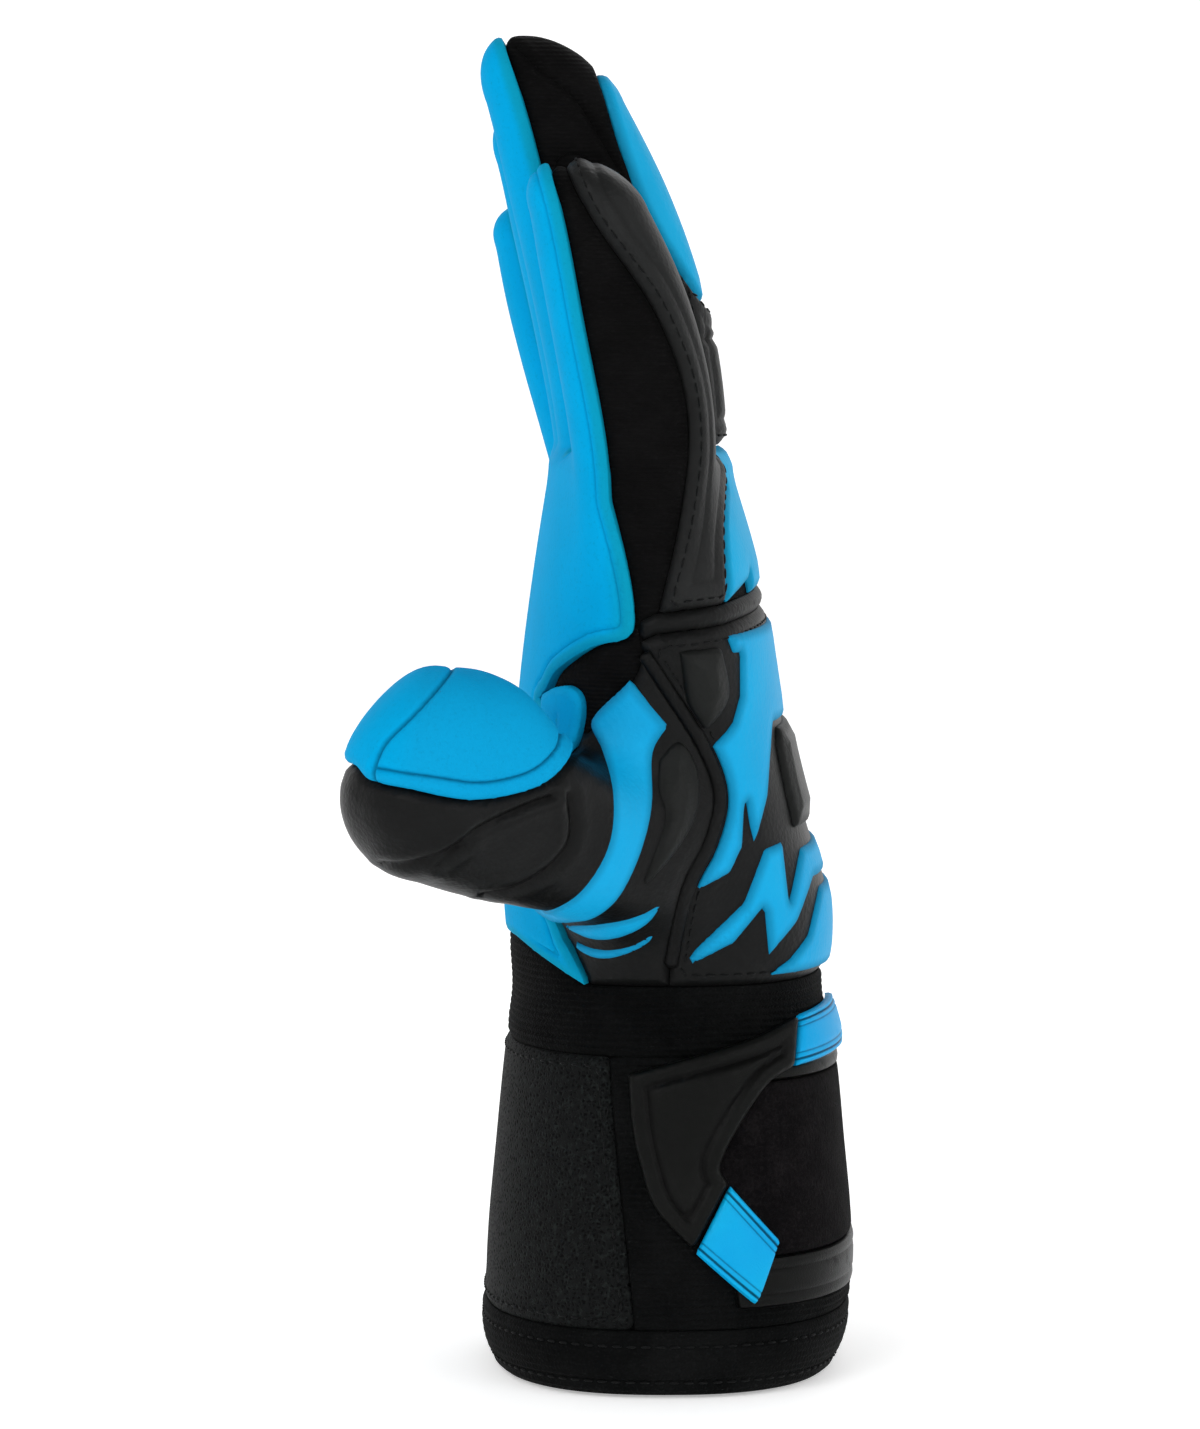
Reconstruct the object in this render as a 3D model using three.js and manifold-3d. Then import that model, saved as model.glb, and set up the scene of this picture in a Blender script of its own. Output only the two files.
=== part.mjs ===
// Goalkeeper glove for the right hand, worn shape, millimetres, +Z from the cuff mouth to the fingertips.
// The palm faces -X, the back of the hand +X and the thumb side -Y. The origin is the centre of the cuff mouth.
import * as THREE from "three";
import { mergeVertices } from "three/addons/utils/BufferGeometryUtils.js";
import Module from "manifold-3d";

const wasm = await Module();
wasm.setup();

// Driving sizes of the cuff and the wrist band
const cuffHeight = 70;
const cuffDepth = 77;
const cuffBreadth = 96;
const hemHeight = 14;
const wristBandHeight = 14;
const wristDepth = 65.4;
const wristBreadth = 79;

// Driving sizes of the hand
const palmLength = 106;
const palmDepth = 52;
const palmBreadth = 104;
const knuckleRound = 8;
const thumbLength = 78;
const thumbDepth = 42;
const thumbBreadth = 36;
const thumbRound = 17;

// Wall thicknesses
const foamWall = 6;
const knitWall = 1.8;
const backWall = 2.6;
const sideWall = 2.6;
const fingerPadWall = 4;
const thumbPadWall = 3;
const cuffWall = 2.2;

// Pieces laid on the walls, and the clearance between pieces
const patchThickness = 1.2;
const padThickness = 1.8;
const bindingThickness = 1.2;
const bindingWidth = 3;
const strapThickness = 1.8;
const tabThickness = 2.6;
const gap = 0.3;

// Facets round a section
const trunkFacets = 24;
const limbFacets = 12;
const capSteps = 2;

const wristFoot = cuffHeight;
const palmFoot = cuffHeight + wristBandHeight;
const palmTop = palmFoot + palmLength;
const beyond = 2 * palmBreadth;

const colours = {
  latex: { color: 0x01a1da, roughness: 0.75, metalness: 0 },
  blue: { color: 0x17a3dc, roughness: 0.45, metalness: 0 },
  knit: { color: 0x080807, roughness: 0.95, metalness: 0 },
  pad: { color: 0x242625, roughness: 0.5, metalness: 0 },
  elastic: { color: 0x0b0d0c, roughness: 0.9, metalness: 0 },
  mesh: { color: 0x141819, roughness: 0.9, metalness: 0 },
  loop: { color: 0x0e0c0d, roughness: 1, metalness: 0 },
  rubber: { color: 0x151716, roughness: 0.4, metalness: 0 },
};

const glove = new THREE.Group();

// A closed geometry as a solid, and a solid as a named mesh
function solidOf(geometry) {
  geometry.deleteAttribute("normal");
  geometry.deleteAttribute("uv");
  const merged = mergeVertices(geometry, 1e-5);
  return new wasm.Manifold(new wasm.Mesh({
    numProp: 3,
    vertProperties: new Float32Array(merged.attributes.position.array),
    triVerts: new Uint32Array(merged.index.array),
  }));
}

// Cuts can leave crumbs along a seam: a piece is its one main body
function mainBody(solid) {
  const bodies = solid.decompose();
  return bodies.reduce((best, body) => (body.volume() > best.volume() ? body : best));
}

function addPiece(name, solid, finish) {
  const result = mainBody(solid).getMesh();
  const geometry = new THREE.BufferGeometry();
  geometry.setAttribute("position", new THREE.BufferAttribute(result.vertProperties, 3));
  geometry.setIndex(new THREE.BufferAttribute(result.triVerts, 1));
  geometry.computeVertexNormals();
  const mesh = new THREE.Mesh(geometry, new THREE.MeshStandardMaterial(finish));
  mesh.name = name;
  glove.add(mesh);
}

function join(solids) {
  return solids.reduce((whole, solid) => whole.add(solid));
}

// A round-cornered section: palm, back, near and far are its reaches from the point x, y at height z
function sectionRing(row, facets, squareness) {
  const middle = row.x + (row.back - row.palm) / 2;
  const depth = (row.back + row.palm) / 2;
  const points = [];
  for (let k = 0; k < facets; k += 1) {
    const turn = (2 * Math.PI * (k + 0.5)) / facets;
    const cosine = Math.cos(turn);
    const sine = Math.sin(turn);
    const breadth = sine < 0 ? row.near : row.far;
    points.push(new THREE.Vector3(
      middle + depth * Math.sign(cosine) * Math.abs(cosine) ** (2 / squareness),
      row.y + breadth * Math.sign(sine) * Math.abs(sine) ** (2 / squareness),
      row.z,
    ));
  }
  return points;
}

// A limb is lofted through its sections and closed at both ends
function loft(rows, facets, squareness, place = new THREE.Matrix4()) {
  const rings = rows.map((row) => sectionRing(row, facets, squareness));
  const foot = rows[0];
  const tip = rows[rows.length - 1];
  const points = rings.flat();
  const footIndex = points.length;
  points.push(new THREE.Vector3(foot.x + (foot.back - foot.palm) / 2, foot.y, foot.z));
  points.push(new THREE.Vector3(tip.x + (tip.back - tip.palm) / 2, tip.y, tip.z + tip.crown));
  const faces = [];
  for (let level = 0; level + 1 < rings.length; level += 1) {
    for (let k = 0; k < facets; k += 1) {
      const low = level * facets + k;
      const next = level * facets + ((k + 1) % facets);
      faces.push(low, next, next + facets, low, next + facets, low + facets);
    }
  }
  const lastRing = (rings.length - 1) * facets;
  for (let k = 0; k < facets; k += 1) {
    faces.push(footIndex, (k + 1) % facets, k);
    faces.push(footIndex + 1, lastRing + k, lastRing + ((k + 1) % facets));
  }
  const geometry = new THREE.BufferGeometry().setFromPoints(points);
  geometry.setIndex(faces);
  geometry.applyMatrix4(place);
  return solidOf(geometry);
}

// The rounded end of a limb: quarter turns of an ellipse above its last section
function capRows(last, height) {
  const rows = [];
  for (let step = 1; step <= capSteps; step += 1) {
    const turn = (Math.PI / 2) * (step / (capSteps + 1));
    const shrink = Math.cos(turn);
    rows.push({
      x: last.x + last.drift * height * Math.sin(turn),
      y: last.y,
      z: last.z + height * Math.sin(turn),
      palm: last.palm * shrink,
      back: last.back * shrink,
      near: last.near * shrink,
      far: last.far * shrink,
      crown: height * (1 - Math.sin(turn)),
    });
  }
  return rows;
}

// Sections of the cuff, as shares of its height, depth and breadth
const cuffSections = [
  { rise: 0, palm: 0.474, back: 0.448, side: 0.47 },
  { rise: 0.07, palm: 0.502, back: 0.48, side: 0.49 },
  { rise: 0.3, palm: 0.503, back: 0.504, side: 0.498 },
  { rise: 0.7, palm: 0.474, back: 0.482, side: 0.463 },
  { rise: 1, palm: 0.446, back: 0.451, side: 0.43 },
];

// Sections of the ribbed wrist band, as shares of its height and of the wrist's depth and breadth
const wristSections = [
  { rise: 0.7, palm: 0.506, back: 0.498, side: 0.5 },
];

// Sections of the hand, as shares of the palm's length, depth and breadth
const handSections = [
  { rise: 0.05, palm: 0.645, back: 0.65, near: 0.39, far: 0.396 },
  { rise: 0.14, palm: 0.656, back: 0.648, near: 0.408, far: 0.427 },
  { rise: 0.3, palm: 0.643, back: 0.556, near: 0.44, far: 0.468 },
  { rise: 0.45, palm: 0.615, back: 0.478, near: 0.464, far: 0.489 },
  { rise: 0.62, palm: 0.582, back: 0.42, near: 0.486, far: 0.5 },
  { rise: 0.8, palm: 0.534, back: 0.366, near: 0.494, far: 0.498 },
  { rise: 1, palm: 0.47, back: 0.25, near: 0.49, far: 0.48 },
];
const trunkSquareness = 2.4;

// A skin is the outer surface, the inner surface or an outer surface grown by some thickness
const outerSkin = { wall: 0, grow: 0 };
const innerSkin = { wall: 1, grow: 0 };

function trunk(skin) {
  const rows = [];
  const thin = skin.grow - skin.wall * cuffWall;
  const mouth = skin.wall > 0 ? -1 : 0;
  for (const section of cuffSections) {
    rows.push({
      x: 0,
      y: 0,
      z: section.rise * cuffHeight + (section.rise === 0 ? mouth : 0),
      palm: section.palm * cuffDepth + thin,
      back: section.back * cuffDepth + thin,
      near: section.side * cuffBreadth + thin,
      far: section.side * cuffBreadth + thin,
    });
  }
  for (const section of wristSections) {
    rows.push({
      x: 0,
      y: 0,
      z: wristFoot + section.rise * wristBandHeight,
      palm: section.palm * wristDepth + thin,
      back: section.back * wristDepth + thin,
      near: section.side * wristBreadth + thin,
      far: section.side * wristBreadth + thin,
    });
  }
  for (const section of handSections) {
    rows.push({
      x: 0,
      y: 0,
      z: palmFoot + section.rise * palmLength,
      palm: section.palm * palmDepth + skin.grow - skin.wall * foamWall,
      back: section.back * palmDepth + skin.grow - skin.wall * backWall,
      near: section.near * palmBreadth + skin.grow - skin.wall * sideWall,
      far: section.far * palmBreadth + skin.grow - skin.wall * sideWall,
      drift: 0,
    });
  }
  const top = rows[rows.length - 1];
  rows.push(...capRows(top, knuckleRound + skin.grow - skin.wall * knitWall));
  return loft(rows, trunkFacets, trunkSquareness);
}

// The fingers. Place, fan and root are shares of the palm's breadth, the finger's length and the palm's depth
const fingers = [
  { name: "index", length: 64, breadth: 25, depth: 29, place: -0.375, fan: -0.06, root: -0.1, tilt: 0, curl: 0.24 },
  { name: "middle", length: 91, breadth: 26, depth: 35, place: -0.125, fan: -0.01, root: -0.1, tilt: 0, curl: 0.27 },
  { name: "ring", length: 77, breadth: 25.5, depth: 34, place: 0.125, fan: 0.03, root: -0.13, tilt: 0, curl: 0.27 },
  { name: "little", length: 56, breadth: 23.5, depth: 30, place: 0.365, fan: 0.08, root: -0.2, tilt: 0.17, curl: 0.15 },
];
const curlPower = 1.7;

// Sections along a finger, as shares of its length, depth and breadth
const fingerSections = [
  { rise: -0.26, depth: 0.84, breadth: 0.92 },
  { rise: 0.1, depth: 0.98, breadth: 0.99 },
  { rise: 0.4, depth: 1, breadth: 1 },
  { rise: 0.65, depth: 0.92, breadth: 0.96 },
  { rise: 0.84, depth: 0.79, breadth: 0.89 },
];
const fingerSquareness = 2.4;

// The middle of a finger, in the side view, at a share of its length
function fingerLean(finger, rise) {
  const along = Math.max(rise, 0);
  const lean = finger.tilt * along + finger.curl * along ** curlPower;
  return finger.root * palmDepth - lean * finger.length;
}

function fingerRow(finger, section, skin) {
  const halfDepth = (section.depth * finger.depth) / 2;
  const halfBreadth = (section.breadth * finger.breadth) / 2 + skin.grow - skin.wall * knitWall;
  return {
    x: fingerLean(finger, section.rise),
    y: finger.place * palmBreadth + finger.fan * finger.length * section.rise,
    z: palmTop + section.rise * finger.length,
    palm: halfDepth + skin.grow - skin.wall * foamWall,
    back: halfDepth + skin.grow - skin.wall * fingerPadWall,
    near: halfBreadth,
    far: halfBreadth,
    drift: -(finger.tilt + finger.curl * curlPower),
  };
}

function fingerLimb(finger, skin) {
  const rows = fingerSections.map((section) => fingerRow(finger, section, skin));
  const last = rows[rows.length - 1];
  const room = palmTop + finger.length - last.z;
  rows.push(...capRows(last, room + skin.grow - skin.wall * knitWall));
  return loft(rows, limbFacets, fingerSquareness);
}

// The thumb, in its own frame: +Z along it, -X its latex face, Y across it
const thumbRoot = { x: -0.08, y: -0.3, z: 0.31 };
const thumbAxis = new THREE.Vector3(-0.74, -0.65, 0.175).normalize();
const thumbFace = new THREE.Vector3(0.05, -0.22, 0.97);
const thumbSections = [
  { rise: 0, face: 0.44, back: 0.5, breadth: 1.16 },
  { rise: 0.45, face: 0.45, back: 0.52, breadth: 1.06 },
  { rise: 0.62, face: 0.51, back: 0.5, breadth: 1.03 },
  { rise: 0.78, face: 0.5, back: 0.46, breadth: 0.98 },
];
const thumbSquareness = 2.5;

function thumbPlace() {
  const across = new THREE.Vector3().crossVectors(thumbAxis, thumbFace.clone().negate()).normalize();
  const face = new THREE.Vector3().crossVectors(across, thumbAxis).normalize();
  const frame = new THREE.Matrix4().makeBasis(face, across, thumbAxis);
  frame.setPosition(
    thumbRoot.x * palmDepth,
    thumbRoot.y * palmBreadth,
    palmFoot + thumbRoot.z * palmLength,
  );
  return frame;
}

function thumbLimb(skin) {
  const rows = thumbSections.map((section) => ({
    x: 0,
    y: 0,
    z: section.rise * thumbLength,
    palm: section.face * thumbDepth + skin.grow - skin.wall * foamWall,
    back: section.back * thumbDepth + skin.grow - skin.wall * thumbPadWall,
    near: (section.breadth * thumbBreadth) / 2 + skin.grow - skin.wall * thumbPadWall,
    far: (section.breadth * thumbBreadth) / 2 + skin.grow - skin.wall * thumbPadWall,
    drift: 0,
  }));
  const last = rows[rows.length - 1];
  rows.push(...capRows(last, thumbRound + skin.grow - skin.wall * thumbPadWall));
  return loft(rows, limbFacets, thumbSquareness, thumbPlace());
}

// A closed outline pushed straight through the glove. Its grown copy keeps neighbours a gap away
function grownOutline(points, by) {
  const turn = Math.sign(THREE.ShapeUtils.area(points));
  return points.map((point, k) => {
    const before = points[(k + points.length - 1) % points.length];
    const after = points[(k + 1) % points.length];
    const inward = point.clone().sub(before).normalize();
    const outward = after.clone().sub(point).normalize();
    const first = new THREE.Vector2(inward.y, -inward.x).multiplyScalar(turn);
    const second = new THREE.Vector2(outward.y, -outward.x).multiplyScalar(turn);
    const corner = first.clone().add(second);
    const reach = by / Math.max(0.5, 1 + first.dot(second));
    return point.clone().addScaledVector(corner, reach);
  });
}

function prism(points, frame, from, to) {
  const shape = new THREE.Shape(points);
  const geometry = new THREE.ExtrudeGeometry(shape, { depth: to - from, bevelEnabled: false, steps: 1 });
  geometry.translate(0, 0, from);
  geometry.applyMatrix4(frame);
  return solidOf(geometry);
}

const sideFrame = new THREE.Matrix4().makeBasis(
  new THREE.Vector3(1, 0, 0),
  new THREE.Vector3(0, 0, 1),
  new THREE.Vector3(0, -1, 0),
);

// A zone is drawn in the side view, as x and z, and runs from one y to another
function zone(points, yFrom, yTo, frame = sideFrame) {
  const outline = points.map(([x, z]) => new THREE.Vector2(x, z));
  return {
    cut: prism(outline, frame, -yTo, -yFrom),
    keepOut: prism(grownOutline(outline, gap), frame, -yTo - gap, -yFrom + gap),
  };
}

function without(solid, zones) {
  return zones.reduce((rest, other) => rest.subtract(other.keepOut), solid);
}

// Side-view points given as shares of the palm's depth and length, or of the cuff's depth and height
function onHand(shares) {
  return shares.map(([x, z]) => [x * palmDepth, palmFoot + z * palmLength]);
}

function onCuff(shares) {
  return shares.map(([x, z]) => [x * cuffDepth, z * cuffHeight]);
}

// The whole wall: everything between the outer and the inner skin
function wholeForm(skin) {
  return join([trunk(skin), thumbLimb(skin), ...fingers.map((finger) => fingerLimb(finger, skin))]);
}

const cavity = wholeForm(innerSkin);
const wall = wholeForm(outerSkin).subtract(cavity);
const handWall = wall.intersect(zone([[-beyond, palmFoot], [beyond, palmFoot],
  [beyond, 2 * palmTop], [-beyond, 2 * palmTop]], -beyond, beyond).cut);

// Level bands of the cuff and the wrist
function level(zFrom, zTo) {
  return zone([[-beyond, zFrom], [beyond, zFrom], [beyond, zTo], [-beyond, zTo]], -beyond, beyond).cut;
}

function addCuff() {
  addPiece("cuff_hem", wall.intersect(level(-beyond, hemHeight)), colours.elastic);
  const seam = onCuff([[-0.09, 0], [-0.1, 0.23], [-0.16, 0.87], [-0.17, 1.2]]);
  const meshZone = zone([...seam, [-beyond, seam[3][1]], [-beyond, seam[0][1]]], -beyond, beyond);
  const body = wall.intersect(level(hemHeight + gap, wristFoot - gap));
  addPiece("cuff_mesh_panel", body.intersect(meshZone.cut), colours.mesh);
  addPiece("cuff_elastic_panel", without(body, [meshZone]), colours.elastic);
  addPiece("wrist_elastic", wall.intersect(level(wristFoot, palmFoot - gap)), colours.elastic);
}

// The strap lies on the cuff: a loop-faced band with bound edges, and a moulded tab on the thumb side
function shellOver(lowest, thickness) {
  const above = { wall: 0, grow: lowest + thickness };
  return trunk(above).subtract(trunk({ wall: 0, grow: lowest }));
}

const strapStart = -0.1;
const tabOutline = [
  [-0.1, 0.94], [0.02, 0.97], [0.25, 1.03], [0.37, 1.08], [0.37, 0.94], [0.29, 0.9],
  [0.2, 0.77], [0.15, 0.66], [0.17, 0.61], [0.08, 0.42], [-0.03, 0.55], [-0.07, 0.69], [-0.09, 0.8],
];
const accentLowOutline = [[0.18, 0.6], [0.31, 0.43], [0.25, 0.25], [0.09, 0.41]];
const accentHighOutline = [[0.375, 1.08], [0.6, 1.14], [0.6, 0.98], [0.375, 0.93]];

function addStrap() {
  const bandShell = shellOver(gap, strapThickness);
  const tabShell = shellOver(2 * gap + strapThickness, tabThickness);
  const tabZone = zone(onCuff(tabOutline), -beyond, 0);
  const accentLow = zone(onCuff(accentLowOutline), -beyond, 0);
  const accentHigh = zone(onCuff(accentHighOutline), -beyond, 0);
  const bands = [
    { name: "strap_lower_band", from: 0.26, to: 0.41, finish: colours.rubber },
    { name: "wrist_strap", from: 0.41, to: 0.92, finish: colours.loop },
    { name: "strap_upper_band", from: 0.92, to: 1.07, finish: colours.rubber },
  ];
  for (const band of bands) {
    const outline = [[strapStart, band.from], [1, band.from], [1, band.to], [strapStart, band.to]];
    const inset = outline.map(([x, z], k) => [x, z + (k < 2 ? gap / cuffHeight : 0)]);
    addPiece(band.name, bandShell.intersect(zone(onCuff(inset), -beyond, beyond).cut), band.finish);
  }
  addPiece("strap_tab", without(tabShell.intersect(tabZone.cut), [accentLow, accentHigh]), colours.rubber);
  addPiece("strap_accent_lower", tabShell.intersect(accentLow.cut), colours.blue);
  addPiece("strap_accent_upper", tabShell.intersect(accentHigh.cut), colours.blue);
}

// Zones join and part like the pieces they make
function both(first, second) {
  return { cut: first.cut.add(second.cut), keepOut: first.keepOut.add(second.keepOut) };
}

function less(first, second) {
  return { cut: first.cut.subtract(second.keepOut), keepOut: first.keepOut.subtract(second.cut) };
}

// The thumb beyond its root, and the half of it that its latex face covers
const thumbStart = 0.24;
const thumbEdge = 0.05;

function thumbZone(xFrom, xTo) {
  const outline = [[xTo, thumbStart], [xTo, 2], [xFrom, 2], [xFrom, thumbStart]];
  const points = outline.map(([x, z]) => [x * thumbDepth, z * thumbLength]);
  return zone(points, -beyond, beyond, thumbPlace().multiply(sideFrame));
}

const thumbReach = 0.7;
const wholeThumb = thumbZone(-thumbReach, thumbReach);
const thumbLatex = thumbZone(-thumbReach, thumbEdge);

// Palm latex: the palm side, its wrap to the thumb side, the thumb's root, the heel and the finger strips
const nearSide = -0.15 * palmBreadth;
const farEdge = -0.2;
const palmSideOutline = [[-2, -0.1], [farEdge, -0.1], [farEdge, 1], [-2, 1]];
const palmNearOutline = [
  [-2, 1], [-0.27, 1], [-0.18, 0.84], [-0.145, 0.735], [-0.17, 0.69],
  [-0.31, 0.67], [-0.45, 0.62], [-0.56, 0.55], [-2, 0.55],
];
const thumbRootOutline = [
  [-2, 0.16], [-0.62, 0.16], [-0.6, 0.22], [-0.5, 0.3], [-0.42, 0.4], [-0.42, 0.52], [-0.57, 0.56], [-2, 0.56],
];
const heelOutline = [[-2, 0.16], [-0.6, 0.155], [-0.43, 0.09], [-0.36, 0.05], [-0.3, -0.1], [-2, -0.1]];

// The fingers part half way between neighbours, at these shares of the palm's breadth
const partings = [-2, -0.25, 0, 0.245, 2];

function fingerCell(index) {
  return [partings[index] * palmBreadth + gap / 2, partings[index + 1] * palmBreadth - gap / 2];
}

// A strip of one finger in the side view: from an edge that follows the finger to its palm or back side
function fingerStrip(index, edges, towards) {
  const finger = fingers[index];
  const points = edges.map(({ rise, from }) => [
    fingerLean(finger, rise) + from * finger.depth,
    palmTop + rise * finger.length,
  ]);
  points.push([towards * beyond, points[points.length - 1][1]]);
  points.push([towards * beyond, points[0][1]]);
  return zone(points, ...fingerCell(index));
}

// Where the latex strip and the back pad end against the knit side wall, as shares of the finger's depth
const latexEdges = [
  { rise: -0.02, from: -0.26 },
  { rise: 0.48, from: -0.29 },
  { rise: 0.84, from: -0.2 },
  { rise: 1.2, from: -0.1 },
];
const padEdges = [
  { rise: -0.5, from: 0.05 },
  { rise: -0.08, from: 0.29 },
  { rise: 0.32, from: 0.35 },
  { rise: 0.52, from: 0.26 },
  { rise: 0.84, from: -0.02 },
  { rise: 1.2, from: 0.02 },
];

const palmZone = [
  less(zone(onHand(palmSideOutline), nearSide, beyond), wholeThumb),
  less(zone(onHand(palmNearOutline), -beyond, nearSide + gap), wholeThumb),
  less(zone(onHand(thumbRootOutline), -beyond, nearSide + gap), wholeThumb),
  less(zone(onHand(heelOutline), -beyond, nearSide + gap), wholeThumb),
  ...fingers.map((finger, index) => fingerStrip(index, latexEdges, -1)),
].reduce(both);

// The seam under the fingers and the seam that parts the thumb's panel from the backhand
const bandLine = [[-0.125, 0.68], [-0.06, 0.695], [0.22, 0.71], [0.38, 0.73], [2, 0.73]];
const bandHeight = 0.04;
const bandTop = bandLine.map(([x, z]) => [x, z + bandHeight]);
const bandZone = zone(onHand([...bandLine, ...bandTop.slice().reverse()]), -beyond, beyond);
const aboveBand = zone(onHand([[-2, 0.7], [-0.13, 0.71], ...bandTop, [2, 3], [-2, 3]]), -beyond, beyond);
const seamLine = [[-0.11, 0.66], [-0.04, 0.61], [0.13, 0.48], [0.2, 0.38], [0.16, 0.29], [0.07, 0.2], [0, 0.04]];

const backhandZone = less(less(both(
  zone(onHand([...bandLine, [2, -0.1], [-0.02, -0.1], ...seamLine.slice().reverse()]), -beyond, nearSide),
  zone(onHand([[farEdge, -0.1], [2, -0.1], [2, 0.73], [0.38, 0.73], [0.22, 0.71], [farEdge, 0.69]]),
    nearSide - gap, beyond),
), palmZone), bandZone);

const webOutline = [
  [-0.62, 0.5], [-0.34, 0.51], [-0.16, 0.6], [-0.11, 0.66], [-0.125, 0.68], [-0.14, 0.72], [-0.2, 0.75], [-0.62, 0.75],
];
const webZone = less(less(zone(onHand(webOutline), -beyond, nearSide), wholeThumb), palmZone);

function addPalmAndThumb() {
  addPiece("palm_latex", handWall.intersect(palmZone.cut), colours.latex);
  addPiece("thumb_latex", handWall.intersect(thumbLatex.cut), colours.latex);
  addPiece("web_gusset", handWall.intersect(webZone.cut), colours.knit);
  const mound = level(palmFoot, palmFoot + 0.7 * palmLength).intersect(
    zone([[-beyond, 0], [beyond, 0], [beyond, beyond * 2], [-beyond, beyond * 2]], -beyond, nearSide).cut,
  );
  addPiece(
    "thumb_back",
    without(handWall.intersect(mound), [thumbLatex, palmZone, webZone, backhandZone, bandZone, aboveBand]),
    colours.pad,
  );
}

function addBackhand() {
  addPiece("backhand_panel", handWall.intersect(backhandZone.cut), colours.pad);
  addPiece("knuckle_band", without(handWall.intersect(bandZone.cut), [palmZone]), colours.pad);
}

// The finger backs: black pads, blue tips on the two middle fingers and one blue piece over their knuckles
const tipFoot = 0.53;
const baseTop = 0.06;

function fingerLevel(finger, from, to) {
  const zFrom = palmTop + from * finger.length;
  const zTo = palmTop + to * finger.length;
  return zone([[-beyond, zFrom], [beyond, zFrom], [beyond, zTo], [-beyond, zTo]], -beyond, beyond);
}

function addFingers() {
  fingers.forEach((finger, index) => {
    const pad = fingerStrip(index, padEdges, 1);
    const cell = zone([[-beyond, palmFoot], [beyond, palmFoot], [beyond, 2 * palmTop], [-beyond, 2 * palmTop]],
      ...fingerCell(index)).cut;
    const own = handWall.intersect(cell).intersect(aboveBand.cut);
    addPiece(`${finger.name}_gusset`, without(own, [palmZone, pad, webZone]), colours.knit);
    const back = without(own.intersect(pad.cut), [palmZone]);
    if (finger.name === "middle" || finger.name === "ring") {
      const tip = fingerLevel(finger, tipFoot, 2);
      const base = fingerLevel(finger, -2, baseTop);
      addPiece(`${finger.name}_tip_panel`, back.intersect(tip.cut), colours.blue);
      addPiece(`${finger.name}_back_pad`, without(back, [tip, base]), colours.pad);
      addPiece(`${finger.name}_base_panel`, back.intersect(base.cut), colours.blue);
    } else {
      addPiece(`${finger.name}_back_pad`, back, colours.pad);
    }
  });
}

// Pieces welded on the panels: outlines in the side view, as shares of the palm's depth and length
function patchShell(thickness) {
  const base = { wall: 0, grow: gap };
  const top = { wall: 0, grow: gap + thickness };
  return trunk(top).add(thumbLimb(top)).subtract(trunk(base).add(thumbLimb(base)));
}

function ribbon(line, width) {
  const path = line.map(([x, z]) => new THREE.Vector2(x, z));
  const sides = [1, -1].map((side) => path.map((point, k) => {
    const before = path[Math.max(k - 1, 0)];
    const after = path[Math.min(k + 1, path.length - 1)];
    const run = after.clone().sub(before).normalize();
    return [point.x - (side * run.y * width) / 2, point.y + (side * run.x * width) / 2];
  }));
  return [...sides[0], ...sides[1].reverse()];
}

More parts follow.
